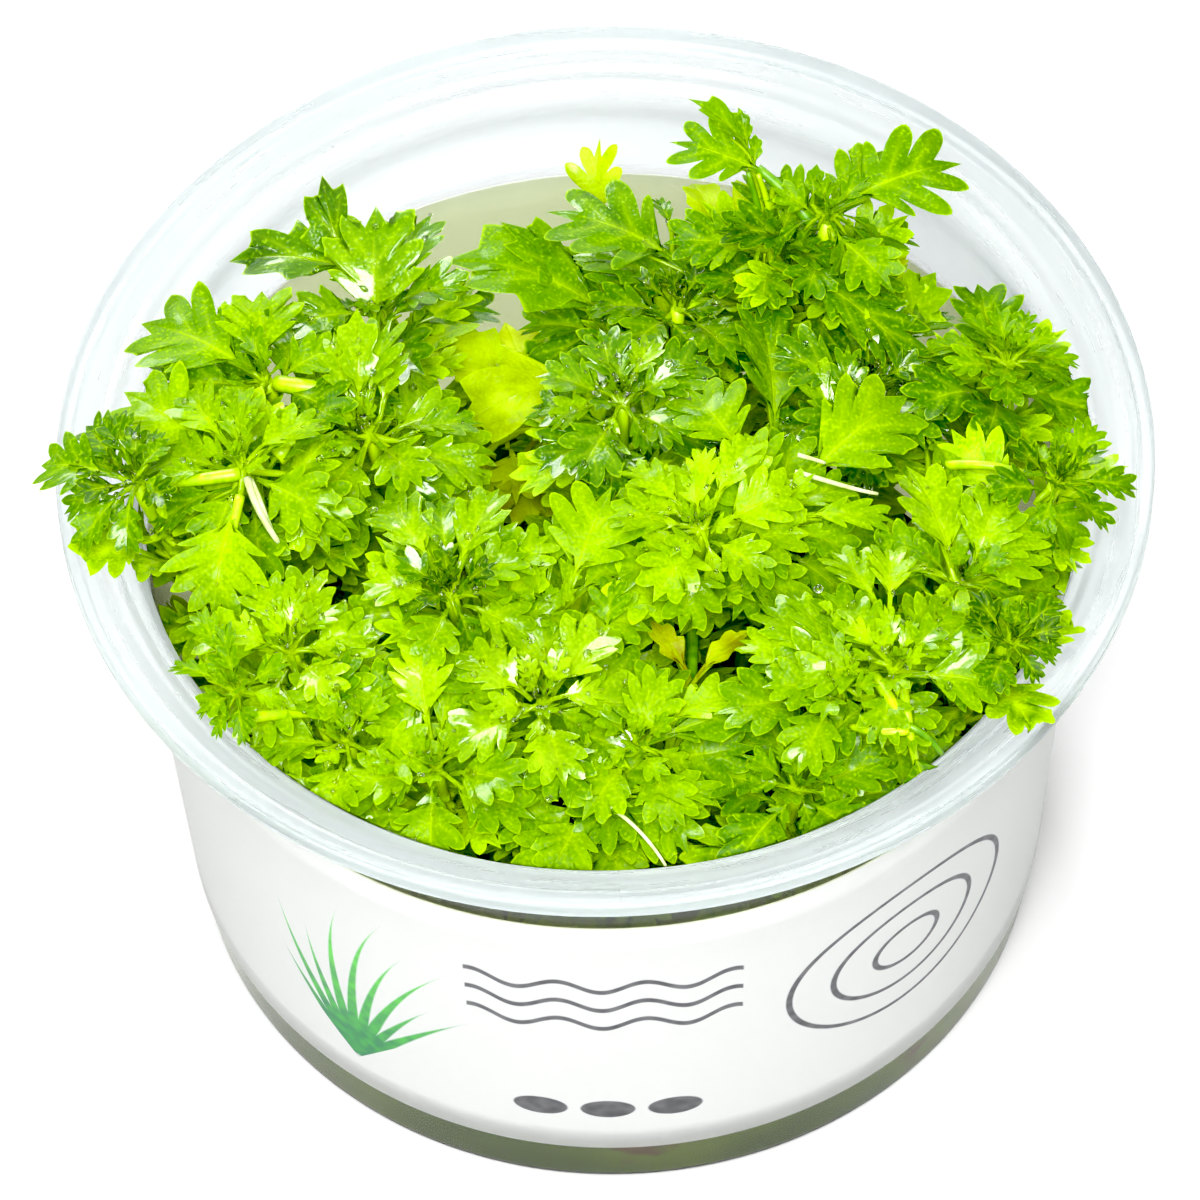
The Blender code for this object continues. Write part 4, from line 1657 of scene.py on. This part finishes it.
@dataclass(frozen=True)
class Petiole:
    """The shape and marks of a leaf's stalk, in shares of its radius, of the blade and in millimetres."""

    radius: float = 0.42
    thick: float = 1.15
    thin: float = 0.3
    sides: int = 8
    steps: int = 7
    midrib_steps: int = 4
    midrib_middle: float = 0.15
    midrib_end: float = 0.3
    below_base: float = 0.2
    below_end: float = 0.12
    sag: float = 0.15
    vein: float = 0.8
    lighter: float = 0.15
    lightest: float = 0.95
    older: float = 0.1


@dataclass(frozen=True)
class YoungLeaves:
    """The young leaves round a heart, from the steep inner ones to the open outer ones; the inner ones are
    drawn darker and the outer ones lighter, as painted shade deep in the heart.
    """

    steepest: float = 84
    opening: float = 52
    shortest: float = 2.8
    growth: float = 4.2
    sink: float = 0.4
    width: float = 0.6
    lightest: float = 0.04
    darker: float = 0.08


@dataclass(frozen=True)
class Ring:
    """A ring of leaves placed by rule: rises in degrees, lengths as shares of the planned length."""

    rise: Pair
    length: Pair
    sink: float
    width: float
    lift: float
    slip: float
    turn: float = 0.0


@dataclass(frozen=True)
class Drops:
    """The drops of water on a crown: radii in millimetres, the rest as shares."""

    from_wetness: float = 0.3
    most: int = 5
    radius: Pair = (0.14, 0.5)
    rarity: float = 2.5
    flatness: float = 0.62
    stand: float = 0.3
    rings: int = 4
    sides: int = 8


PETIOLE = Petiole()
YOUNG = YoungLeaves()
DROPS = Drops()
# The rings below the heart are drawn darker than the crown's tone by their negative lift: painted shade under
# the crown.
UNDER = Ring((-8, 25), (0.85, 1.2), 5.2, 0.75, -0.14, 0.25)
FILL = Ring((-8, 22), (0.85, 1.15), 1.8, 0.8, -0.05, 0.2, 0.7)
FILL_OVER_RIM = Ring((6, 22), (0.85, 1.15), 1.8, 0.8, -0.05, 0.2, 0.7)


@dataclass
class Crown:
    """The leaves of one shoot and the drops of water on them."""

    shoot: Shoot
    skin: Material
    water: Material
    base_share: float = 0.16
    wobble: float = 0.12
    petiole_depth: float = 1.2
    ruled_base: float = 0.14
    ruled_wobble: float = 0.15
    under_length: float = 10.5
    upright_from: float = 0.8
    upright_arch: float = 0.1
    open_arch: float = 0.14
    draft: Draft = field(default_factory=Draft)
    perches: list[tuple[Array, Array]] = field(default_factory=list)

    def __post_init__(self) -> None:
        """Seeds the crown's irregularities from its name."""
        self.rng = np.random.default_rng(sum(ord(c) * (k + 1) for k, c in enumerate(self.shoot.name)))

    def grow(self, blade: BladeShape, tone: Tone, lift: float = 0.0) -> None:
        """Adds one blade, and keeps a few places on it where a drop may sit.

        Args:
            blade: where and how the blade lies.
            tone: its colour.
            lift: how much lighter it is than its tone; negative for the lower rings and the inner young
                leaves, as painted shade.
        """
        shade, age = tone.value
        damp = self.shoot.wet
        grid = blade.add_to(self.draft, shade + lift, age, damp, self.rng)
        if damp <= DROPS.from_wetness:
            return
        for _ in range(int(damp * DROPS.most)):
            row = self.rng.integers(1, len(grid) - 1)
            column = self.rng.integers(2, grid.shape[1] - 3)
            here = grid[row, column]
            way = np.cross(grid[row, column + 1] - here, grid[row + 1, column] - here)
            if np.linalg.norm(way) > NEARLY_NOTHING:
                way = unit(way)
                self.perches.append((here, way if way[2] > 0 else -way))

    def hand_leaf(self, leaf: Leaf) -> None:
        """Adds one of the listed leaves, with its petiole."""
        heart, axis = self.shoot.heart.point(), self.shoot.axis()
        tip = At(leaf.x, leaf.y, leaf.height).point()
        base = leaf.base.point() if leaf.base else heart + (tip - heart) * self.base_share
        way = unit(tip - base)
        facing = axis - way * axis.dot(way) + self.wobble * self.rng.standard_normal(3)
        rows = Detail.FULL.value
        blade = BladeShape(base, tip, facing, leaf.width, leaf.form.value, rows, leaf.arch, leaf.fold)
        tone = leaf.tone or self.shoot.tone
        self.grow(blade, tone)
        self.petiole(heart - axis * self.petiole_depth, base, tip, unit(facing), tone)

    def petiole(
        self, start: Array, base: Array, tip: Array, up: Array, tone: Tone
    ) -> None:
        """Adds a leaf's stalk, which runs on under the blade as its midrib.

        Args:
            start: where it leaves the stem.
            base: where the blade starts.
            tip: the blade's tip.
            up: the way the blade's upper side faces.
            tone: the leaf's colour.
        """
        shape, along = PETIOLE, tip - base
        below = base - up * shape.below_base
        inner = base + along * shape.midrib_end - up * shape.below_end
        bow = start + (base - start) * 0.5 - up * shape.sag * np.linalg.norm(base - start)
        first = bezier([start, bow, below], shape.steps)
        second = bezier([below, base + along * shape.midrib_middle, inner], shape.midrib_steps)[1:]
        route = hold_inside(np.concatenate([first, second]))
        radii = np.linspace(shape.thick, shape.thin, len(route)) * shape.radius
        shade, age = tone.value
        mark = (shape.vein, 0.0, min(shade + shape.lighter, shape.lightest), age + shape.older)
        self.draft.add_tube(route, radii, shape.sides, mark, self.shoot.wet)

    def ruled_leaf(
        self,
        turn: float,
        rise: float,
        length: float,
        sink: float,
        width: float,
        form: Form,
        detail: Detail,
        tone: Tone,
        lift: float,
    ) -> None:
        """Adds a leaf at an angle round the heart.

        Args:
            turn: its angle round the crown's axis.
            rise: its angle above square to the axis.
            length: its length from the heart to its tip.
            sink: how far below the heart it leaves the stem.
            width: its width as a share of its length.
            form: its shape.
            detail: how finely it is drawn.
            tone: its colour.
            lift: how much lighter it is than its tone.
        """
        side, front = self.shoot.across()
        axis = self.shoot.axis()
        flat = side * cos(turn) + front * sin(turn)
        way = flat * cos(rise) + axis * sin(rise)
        foot = self.shoot.heart.point() - axis * sink
        base = foot + way * length * self.ruled_base
        facing = axis * cos(rise) - flat * sin(rise) + self.ruled_wobble * self.rng.standard_normal(3)
        arch = self.upright_arch if rise > self.upright_from else self.open_arch
        blade = BladeShape(base, foot + way * length, facing, width, form.value, detail.value, arch)
        self.grow(blade, tone, lift)

    def add_young(self, first: float) -> None:
        """Adds the young leaves round the heart, from an angle on."""
        shoot = self.shoot
        for k in range(shoot.young):
            share = k / max(shoot.young - 1, 1)
            rise = radians(YOUNG.steepest - YOUNG.opening * share)
            length = YOUNG.shortest + YOUNG.growth * share
            # The inner, steeper young leaves are drawn darker and the outer ones lighter: painted shade in
            # the heart.
            lift = YOUNG.lightest - YOUNG.darker * (1 - share)
            turn, sink = first + GOLDEN_TURN * k, YOUNG.sink + share
            tone = shoot.heart_tone or shoot.tone
            self.ruled_leaf(turn, rise, length, sink, YOUNG.width, Form.YOUNG, Detail.PLAIN, tone, lift)

    def add_ring(self, ring: Ring, count: int, length: float, first: float) -> None:
        """Adds a ring of leaves placed by rule.

        Args:
            ring: how its leaves stand.
            count: how many there are.
            length: their planned length.
            first: the angle that the ring is counted from.
        """
        form, detail, tone = Form.WEDGE, Detail.GOOD, self.shoot.tone
        for k in range(count):
            turn = first + ring.turn + 2 * pi * (k + self.rng.uniform(-ring.slip, ring.slip)) / count
            rise = radians(self.rng.uniform(*ring.rise))
            grown = length * self.rng.uniform(*ring.length)
            self.ruled_leaf(turn, rise, grown, ring.sink, ring.width, form, detail, tone, ring.lift)

    def build(self) -> list[Object]:
        """Makes the crown's leaves and its drops.

        Returns:
            The pieces made.
        """
        shoot = self.shoot
        for leaf in shoot.leaves:
            self.hand_leaf(leaf)
        first = self.rng.uniform(0, 2 * pi)
        self.add_young(first)
        if not shoot.over_rim:
            self.add_ring(UNDER, shoot.under, self.under_length, first)
        self.add_ring(FILL_OVER_RIM if shoot.over_rim else FILL, shoot.fill, shoot.fill_length, first)
        leaves = self.draft.make("leaves_" + shoot.name, self.skin, SLOT_OF_TONE[shoot.tone])
        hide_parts("crown_" + shoot.name)
        return [leaves, self.drops()] if self.perches else [leaves]

    def drops(self) -> Object:
        """Makes the drops of water that sit on the leaves."""
        draft = Draft()
        low, high = DROPS.radius
        rings, sides = DROPS.rings, DROPS.sides
        rise = np.linspace(-pi / 2, pi / 2, rings + 2)[1:-1][:, None, None]
        turn = np.linspace(0, 2 * pi, sides, endpoint=False)[None, :, None]
        for place, way in self.perches:
            radius = low + (high - low) * self.rng.uniform() ** DROPS.rarity
            side = unit(np.cross(way, np.array([0.3, 1.0, 0.2])))
            front = np.cross(way, side)
            round_it = np.cos(rise) * (side * np.cos(turn) + front * np.sin(turn))
            ball = round_it + way * (np.sin(rise) * DROPS.flatness + DROPS.stand)
            numbers = draft.add_plain((place + radius * ball).reshape(-1, 3)).reshape(rings, sides)
            draft.add_rows(numbers, closed=True)
            for ring, height in ((numbers[0][::-1], -DROPS.flatness), (numbers[-1], DROPS.flatness)):
                draft.add_cap(ring, place + way * radius * (DROPS.stand + height))
        return draft.make("drops_" + self.shoot.name, self.water, "clear_plastic")


@dataclass
class Stem:
    """A shoot's stem, with its lower leaves in whorls at shares of its height."""

    shoot: Shoot
    bark: Material
    skin: Material
    radius: float = 1.0
    foot_size: float = 1.02
    taper: float = 0.4
    swelling: float = 0.08
    swellings: int = 6
    steps: int = 26
    sides: int = 10
    mark: tuple[float, ...] = (0.5, 0.0, 0.8, 0.2)
    wet: float = 0.2
    whorls: tuple[float, ...] = (0.3, 0.46, 0.6, 0.72, 0.82, 0.92)
    whorl_turn: float = 1.05
    leaves_each: int = 4
    slip: float = 0.3
    rise: Pair = (10, 40)
    leaf_length: float = 11.5
    leaf_range: Pair = (0.8, 1.15)
    leaf_width: float = 0.65
    leaf_base: float = 1.2
    wobble: float = 0.2
    tone: float = 0.46
    tone_range: float = 0.34
    # How much darker the lowest leaves are drawn: painted shade deep in the tub; their stalks are drawn
    # lighter by the same amount.
    painted_low_shade: float = 0.2
    age: float = 0.9
    green_from: float = 0.75
    stalk_end: float = 2.6
    stalk_radii: tuple[float, ...] = (0.5, 0.45, 0.2)
    stalk_sides: int = 5

    def build(self) -> list[Object]:
        """Makes the stem and its lower leaves.

        Returns:
            The pieces made.
        """
        shoot = self.shoot
        route = np.concatenate([shoot.stem_route(self.steps), [shoot.heart.point() - shoot.axis()]])
        share = np.linspace(0, 1, len(route))
        swell = self.swelling * np.cos(share * 2 * pi * self.swellings)
        radii = self.radius * (self.foot_size - self.taper * share + swell)
        draft = Draft()
        draft.add_tube(route, radii, self.sides, self.mark, self.wet)
        stem = draft.make("bare_stem_" + shoot.name, self.bark, "stem_green")
        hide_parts("stem_" + shoot.name)
        rng = np.random.default_rng(len(shoot.name) * 31 + ord(shoot.name[0]))
        lower = Draft()
        for n, place in enumerate(self.whorls):
            node = route[int(place * (len(route) - 1))]
            for k in range(self.leaves_each):
                turn = 2 * pi * k / self.leaves_each + n * self.whorl_turn
                turn += rng.uniform(-self.slip, self.slip)
                self.lower_leaf(lower, node, turn, place, rng)
        return [stem, lower.make("lower_leaves_" + shoot.name, self.skin, "leaf_mid")]

    def lower_leaf(
        self, draft: Draft, node: Array, turn: float, place: float, rng: np.random.Generator
    ) -> None:
        """Adds one of the stem's lower leaves with its stalk.

        Args:
            draft: the mesh that it goes into.
            node: the point of the stem that it grows from.
            turn: its angle round the stem.
            place: how high it is, as a share of the stem.
            rng: the source of its irregularities.
        """
        rise = radians(rng.uniform(*self.rise))
        way = np.array([cos(turn) * cos(rise), sin(turn) * cos(rise), sin(rise)])
        length = self.leaf_length * rng.uniform(*self.leaf_range)
        facing = np.array([0, 0, 1.0]) + self.wobble * rng.standard_normal(3)
        # Leaves lower on the stem are drawn darker: painted shade.
        tone = self.tone + self.tone_range * rng.uniform() - self.painted_low_shade * (1 - place)
        age = max(0.0, self.age * (self.green_from - place) * rng.uniform() * 2)
        base, tip = node + way * self.leaf_base, node + way * length
        blade = BladeShape(base, tip, facing, self.leaf_width, Form.WEDGE.value, Detail.LOW.value)
        blade.add_to(draft, tone, age, self.wet, rng)
        inner = node + way * self.stalk_end
        route = np.stack([node, (node + inner) / 2, inner])
        mark = (PETIOLE.vein, 0.0, tone + self.painted_low_shade, age)
        draft.add_tube(route, np.array(self.stalk_radii), self.stalk_sides, mark, self.wet)


@dataclass
class Tub:
    """The clear tub, turned from its profile with rounded edges."""

    finish: Material
    segments: int = 192
    floor: float = 1.0
    foot_radius: float = 42.4
    flange_radius: float = 52.5
    skirt_height: float = 2.4
    skirt: float = 0.9
    edge: float = 0.4
    corner_steps: int = 4
    corner_most: float = 0.45

    def corner(
        self, before: Sequence[float], at: Sequence[float], after: Sequence[float], radius: float
    ) -> list[Array]:
        """Points of a rounded corner.

        Args:
            before: the profile point before the corner.
            at: the corner.
            after: the profile point after it.
            radius: how far from the corner the rounding starts.

        Returns:
            The points.
        """
        before, at, after = (np.array(p, float) for p in (before, at, after))
        near = at + unit(before - at) * min(radius, np.linalg.norm(before - at) * self.corner_most)
        far = at + unit(after - at) * min(radius, np.linalg.norm(after - at) * self.corner_most)
        return list(bezier([near, at, far], self.corner_steps))

    def profile(self) -> Array:
        """The tub's profile as (radius, height), from the middle of its underside to that of its floor."""
        out, top = self.flange_radius, TUB_TOP
        inner = wall_outside(2.4) - WALL
        corners = [
            ((0, 0), 0),
            ((self.foot_radius, 0), 0.3),
            ((WALL_FOOT_RADIUS - 0.1, 0.25), 0.3),
            ((WALL_FOOT_RADIUS, WALL_FOOT_HEIGHT), 0.4),
            ((wall_outside(WALL_TOP), WALL_TOP), 0.8),
            ((wall_outside(WALL_TOP) + 0.35, WALL_TOP + 1.9), 0.8),
            ((OPENING_RADIUS - 0.1, OPENING_HEIGHT - 1.0), 0.8),
            ((out - self.skirt, top - 1.5), 0.3),
            ((out - self.skirt, top - self.skirt_height), 0.15),
            ((out, top - self.skirt_height), 0.25),
            ((out, top), self.edge),
            ((out - 1.5, top - 0.62), 0.25),
            ((out - 2.1, top - 1.25), 0.25),
            ((OPENING_RADIUS + 1.6, OPENING_HEIGHT + 0.75), 0.3),
            ((OPENING_RADIUS + 0.9, OPENING_HEIGHT + 0.2), 0.3),
            ((OPENING_RADIUS, OPENING_HEIGHT), 0.4),
            ((OPENING_RADIUS - 1.0, OPENING_HEIGHT - 1.6), 0.5),
            ((wall_outside(WALL_TOP) - WALL + 0.15, WALL_TOP + 0.8), 0.8),
            ((wall_outside(WALL_TOP - 2) - WALL, WALL_TOP - 2), 0.8),
            ((inner, 2.4), 0.6),
            ((inner - 1.1, self.floor), 0.8),
            ((0, self.floor), 0),
        ]
        points = [np.array(corners[0][0], float)]
        for (before, _), (at, radius), (after, _) in zip(corners, corners[1:], corners[2:]):
            points += self.corner(before, at, after, radius)
        points.append(np.array(corners[-1][0], float))
        return np.array(points)

    def build(self) -> Object:
        """Makes the tub."""
        tub = turned("clear_tub", self.profile(), self.segments, self.finish, "clear_plastic")
        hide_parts("cup")
        return tub


def turned(
    name: str, profile: Array, segments: int, finish: Material, slot: str
) -> Object:
    """A body turned round Z from a profile that starts and ends on the axis or joins up with itself.

    Args:
        name: the piece's name.
        profile: its (radius, height) points.
        segments: how many facets it has round.
        finish: its material.
        slot: the record's material slot.

    Returns:
        The piece.
    """
    draft = Draft()
    turn = np.linspace(0, 2 * pi, segments, endpoint=False)
    ends = profile[0][0] == 0
    body = profile[1:-1] if ends else profile
    radius, heights = body[:, :1], np.repeat(body[:, 1:], segments, axis=1)
    rings = np.stack([radius * np.cos(turn), radius * np.sin(turn), heights], axis=-1)
    numbers = draft.add_plain(rings.reshape(-1, 3)).reshape(-1, segments)
    if ends:
        draft.add_rows(numbers, closed=True)
        for ring, height in ((numbers[0][::-1], profile[0][1]), (numbers[-1], profile[-1][1])):
            draft.add_cap(ring, np.array([0, 0, height]))
    else:
        draft.add_rows(np.concatenate([numbers, numbers[:1]]), closed=True)
    return draft.make(name, finish, slot)


@dataclass
class Band:
    """The paper band round the wall."""

    finish: Material
    foot: float = 7.0
    top: float = 49.8
    gap: float = 0.18
    thickness: float = 0.3
    segments: int = 192
    rows: int = 12

    def build(self) -> Object:
        """Makes the band."""
        heights = np.linspace(self.foot, self.top, self.rows)
        inner = wall_outside(heights) + self.gap
        outside = np.stack([inner + self.thickness, heights], axis=1)
        inside = np.stack([inner, heights], axis=1)[::-1]
        band = turned("paper_band", np.concatenate([outside, inside]), self.segments, self.finish, "paper")
        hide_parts("label")
        return band


@dataclass
class Gel:
    """The nutrient gel in the tub's base, with the faint raised edge where it meets the wall.

    Its sides and foot reach a little into the plastic, because gel that wets a wall shows no air between.
    """

    finish: Material
    segments: int = 128
    underside: float = 0.3
    foot_radius: float = 42.2
    foot_height: float = 0.7
    in_plastic: float = 0.3
    side_top: float = 11.6
    edge_top: float = 12.0
    edge_crest: Pair = (0.25, 12.05)
    edge_width: float = 1.2
    slope_width: float = 3.0

    def build(self) -> Object:
        """Makes the gel."""
        inside = wall_outside(self.edge_top) - WALL
        crest, crest_height = self.edge_crest
        profile = [
            (0, self.underside),
            (self.foot_radius, self.underside),
            (wall_outside(WALL_FOOT_HEIGHT) - self.in_plastic, self.foot_height),
            (wall_outside(self.side_top) - self.in_plastic, self.side_top),
            (inside, self.edge_top),
            (inside - crest, crest_height),
            (inside - self.edge_width, self.side_top),
            (inside - self.slope_width, GEL_SURFACE),
            (0, GEL_SURFACE),
        ]
        gel = turned("nutrient_gel", np.array(profile), self.segments, self.finish, "nutrient_gel")
        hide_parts("gel")
        return gel


class Kind(Enum):
    """What a bare piece between the leaves is."""

    ROOT = "root_skin"
    STALK = "stem_skin"
    GREEN_STALK = "green_stem_skin"


@dataclass(frozen=True)
class Root:
    """A bare root or stalk that shows between the leaves."""

    name: str
    path: tuple[At, ...]
    radius: float
    kind: Kind = Kind.ROOT
    steps: int = 12
    sides: int = 10
    taper: float = 0.3
    mark: tuple[float, ...] = (0.6, 0.0, 0.9, 0.2)
    wet: float = 0.4


ROOTS = (
    Root("root_left_a", (At(247, 478, 67.5), At(254, 505, 67), At(266, 525, 66), At(279, 543, 64)), 0.38),
    Root("root_left_b", (At(250, 480, 67), At(262, 505, 67), At(270, 530, 65), At(277, 545, 63)), 0.34),
    Root("root_mid_a", (At(798, 455, 69), At(810, 458, 69), At(825, 463, 68)), 0.22),
    Root("root_mid_b", (At(795, 472, 69), At(820, 478, 68.5), At(845, 488, 68), At(878, 494, 67)), 0.24),
    Root("root_mid_c", (At(790, 482, 68), At(800, 481, 68), At(810, 482, 67.5)), 0.22),
    Root("root_front", (At(603, 803, 62), At(625, 815, 61), At(648, 836, 60), At(666, 866, 58)), 0.2),
    Root("stalk_left", (At(240, 474, 67), At(200, 480, 67), At(156, 484, 65)), 0.68, Kind.STALK),
    Root("stalk_leaf_left", (At(240, 496, 68.4), At(232, 530, 67.4), At(222, 590, 65.3)), 0.5, Kind.STALK),
    Root("stalk_upper", (At(276, 383, 65), At(318, 390, 66), At(362, 390, 64)), 0.84, Kind.STALK),
    Root("stalk_diagonal", (At(276, 458, 65), At(306, 430, 66), At(342, 400, 64)), 1.0, Kind.STALK),
    Root(
        "stalk_tall", (At(810, 222, 70), At(796, 202, 71.5), At(780, 186, 72), At(758, 168, 73)),
        0.62, Kind.GREEN_STALK,
    ),
    Root(
        "stalk_tall_thin", (At(768, 246, 65), At(761, 218, 68), At(754, 192, 71), At(748, 172, 73)),
        0.36, Kind.GREEN_STALK,
    ),
    Root(
        "stalk_tall_pale", (At(778, 246, 65), At(772, 216, 68), At(765, 192, 71), At(758, 174, 73)),
        0.36, Kind.STALK,
    ),
    Root("stalk_middle", (At(504, 648, 63), At(532, 643, 65), At(562, 646, 63)), 0.5, Kind.STALK),
    Root("stalk_right", (At(944, 466, 64), At(985, 460, 67), At(1032, 476, 65)), 0.5, Kind.STALK),
    Root(
        "fork_right", (At(902, 680, 66), At(906, 704, 67), At(908, 730, 66.5), At(918, 772, 61)),
        0.5, Kind.STALK,
    ),
    Root("fork_right_top", (At(874, 676, 66), At(892, 700, 67), At(908, 730, 66)), 0.6, Kind.STALK),
    Root("fork_right_arm", (At(908, 730, 66), At(882, 736, 66.5), At(850, 726, 64)), 0.46, Kind.STALK),
    Root("fork_right_twig", (At(908, 726, 66), At(926, 732, 66), At(942, 754, 63)), 0.36, Kind.GREEN_STALK),
    Root("stalk_low_left", (At(304, 690, 62), At(316, 715, 62), At(332, 748, 59)), 0.5, Kind.STALK),
    Root("stalk_low_left_flat", (At(240, 720, 65.6), At(278, 712, 65), At(320, 714, 62)), 0.55, Kind.STALK),
    Root("stalk_old", (At(692, 620, 56), At(693, 650, 58), At(692, 686, 59)), 0.62, Kind.GREEN_STALK),
)


def build_root(root: Root, finishes: dict[Kind, Material]) -> Object:
    """Makes a root or a bare stalk.

    Args:
        root: its path, radius and kind.
        finishes: the finish of each kind.

    Returns:
        The piece.
    """
    route = hold_inside(bezier([place.point() for place in root.path], root.steps))
    share = np.linspace(0, 1, len(route))
    radii = root.radius * (1 - root.taper * share**2)
    draft = Draft()
    draft.add_tube(route, radii, root.sides, root.mark, root.wet)
    return draft.make(root.name, finishes[root.kind], "stem_green")


@dataclass(frozen=True)
class Lamp:
    """A square soft light: where it hangs and the length of its side in metres, and its power in watts."""

    name: str
    place: Triple
    side: float
    power: float
    aim: Triple = (0.0, 0.0, 0.05)

    def make(self) -> None:
        """Adds the light to the scene, facing its aim."""
        data = bpy.data.lights.new(self.name, "AREA")
        data.shape = "SQUARE"
        data.size = self.side
        data.energy = self.power
        made = bpy.data.objects.new(self.name, data)
        made.location = self.place
        made.rotation_euler = (Vector(self.aim) - Vector(self.place)).to_track_quat("-Z", "Y").to_euler()
        bpy.context.scene.collection.objects.link(made)


@dataclass
class Studio:
    """A plain pale floor under soft white light. Lengths are metres."""

    floor_half: float = 4.0
    floor_height: float = -0.0001
    lamps: tuple[Lamp, ...] = (
        Lamp("key", (-0.05, -0.5, 0.84), 0.42, 16.6),
        Lamp("back", (-0.3, 0.75, 0.6), 0.42, 8.0),
    )
    sky: float = 0.92
    black: float = 0.034
    light_threshold: float = 0.04
    bounces: int = 5
    soft_bounces: int = 2

    def floor(self) -> None:
        """Makes the floor."""
        mesh = bpy.data.meshes.new("floor")
        half = self.floor_half
        corners = [(-half, -half), (half, -half), (half, half), (-half, half)]
        mesh.from_pydata([(x, y, self.floor_height) for x, y in corners], [], [(0, 1, 2, 3)])
        mesh.materials.append(FloorFinish().build())
        made = bpy.data.objects.new("floor", mesh)
        bpy.context.scene.collection.objects.link(made)

    def build(self) -> None:
        """Makes the floor, the lights and the sky, and sets how light is traced and shown."""
        self.floor()
        for lamp in self.lamps:
            lamp.make()
        world = bpy.data.worlds.new("white_room")
        world.use_nodes = True
        background = world.node_tree.nodes["Background"]
        background.inputs["Color"].default_value = (1, 1, 1, 1)
        background.inputs["Strength"].default_value = self.sky
        bpy.context.scene.world = world
        paths = bpy.context.scene.cycles
        paths.use_light_tree = False
        paths.light_sampling_threshold = self.light_threshold
        paths.max_bounces = self.bounces
        paths.diffuse_bounces = self.soft_bounces
        paths.glossy_bounces = self.soft_bounces
        paths.transmission_bounces = self.bounces
        view = bpy.context.scene.view_settings
        view.view_transform = "Standard"
        view.use_curve_mapping = True
        view.curve_mapping.black_level = (self.black, self.black, self.black)
        view.curve_mapping.update()


def main() -> None:
    """Builds every piece in order."""
    logging.basicConfig(level=logging.INFO, format="%(name)s: %(message)s")
    CAMERA.make()
    Studio().build()
    skin = LeafFinish().build()
    shaded_skin = LeafFinish("lower_leaf_skin", share_through=0.0).build()
    bark = StemFinish(Kind.STALK.value, (0.42, 0.62, 0.006), (0.22, 0.42, 0.003)).build()
    finishes = {
        Kind.ROOT: StemFinish(Kind.ROOT.value, (0.62, 0.68, 0.4), (0.42, 0.5, 0.16)).build(),
        Kind.STALK: bark,
        Kind.GREEN_STALK: StemFinish(
            Kind.GREEN_STALK.value, (0.16, 0.34, 0.003), (0.06, 0.2, 0.001)
        ).build(),
    }
    water = WaterFinish().build()
    Tub(PlasticFinish().build()).build()
    Band(PaperFinish().build()).build()
    Gel(GelFinish().build()).build()
    for shoot in SHOOTS:
        Crown(shoot, skin, water).build()
        if shoot.own_stem:
            Stem(shoot, bark, shaded_skin).build()
    for root in ROOTS:
        build_root(root, finishes)


if __name__ == "__main__":
    main()
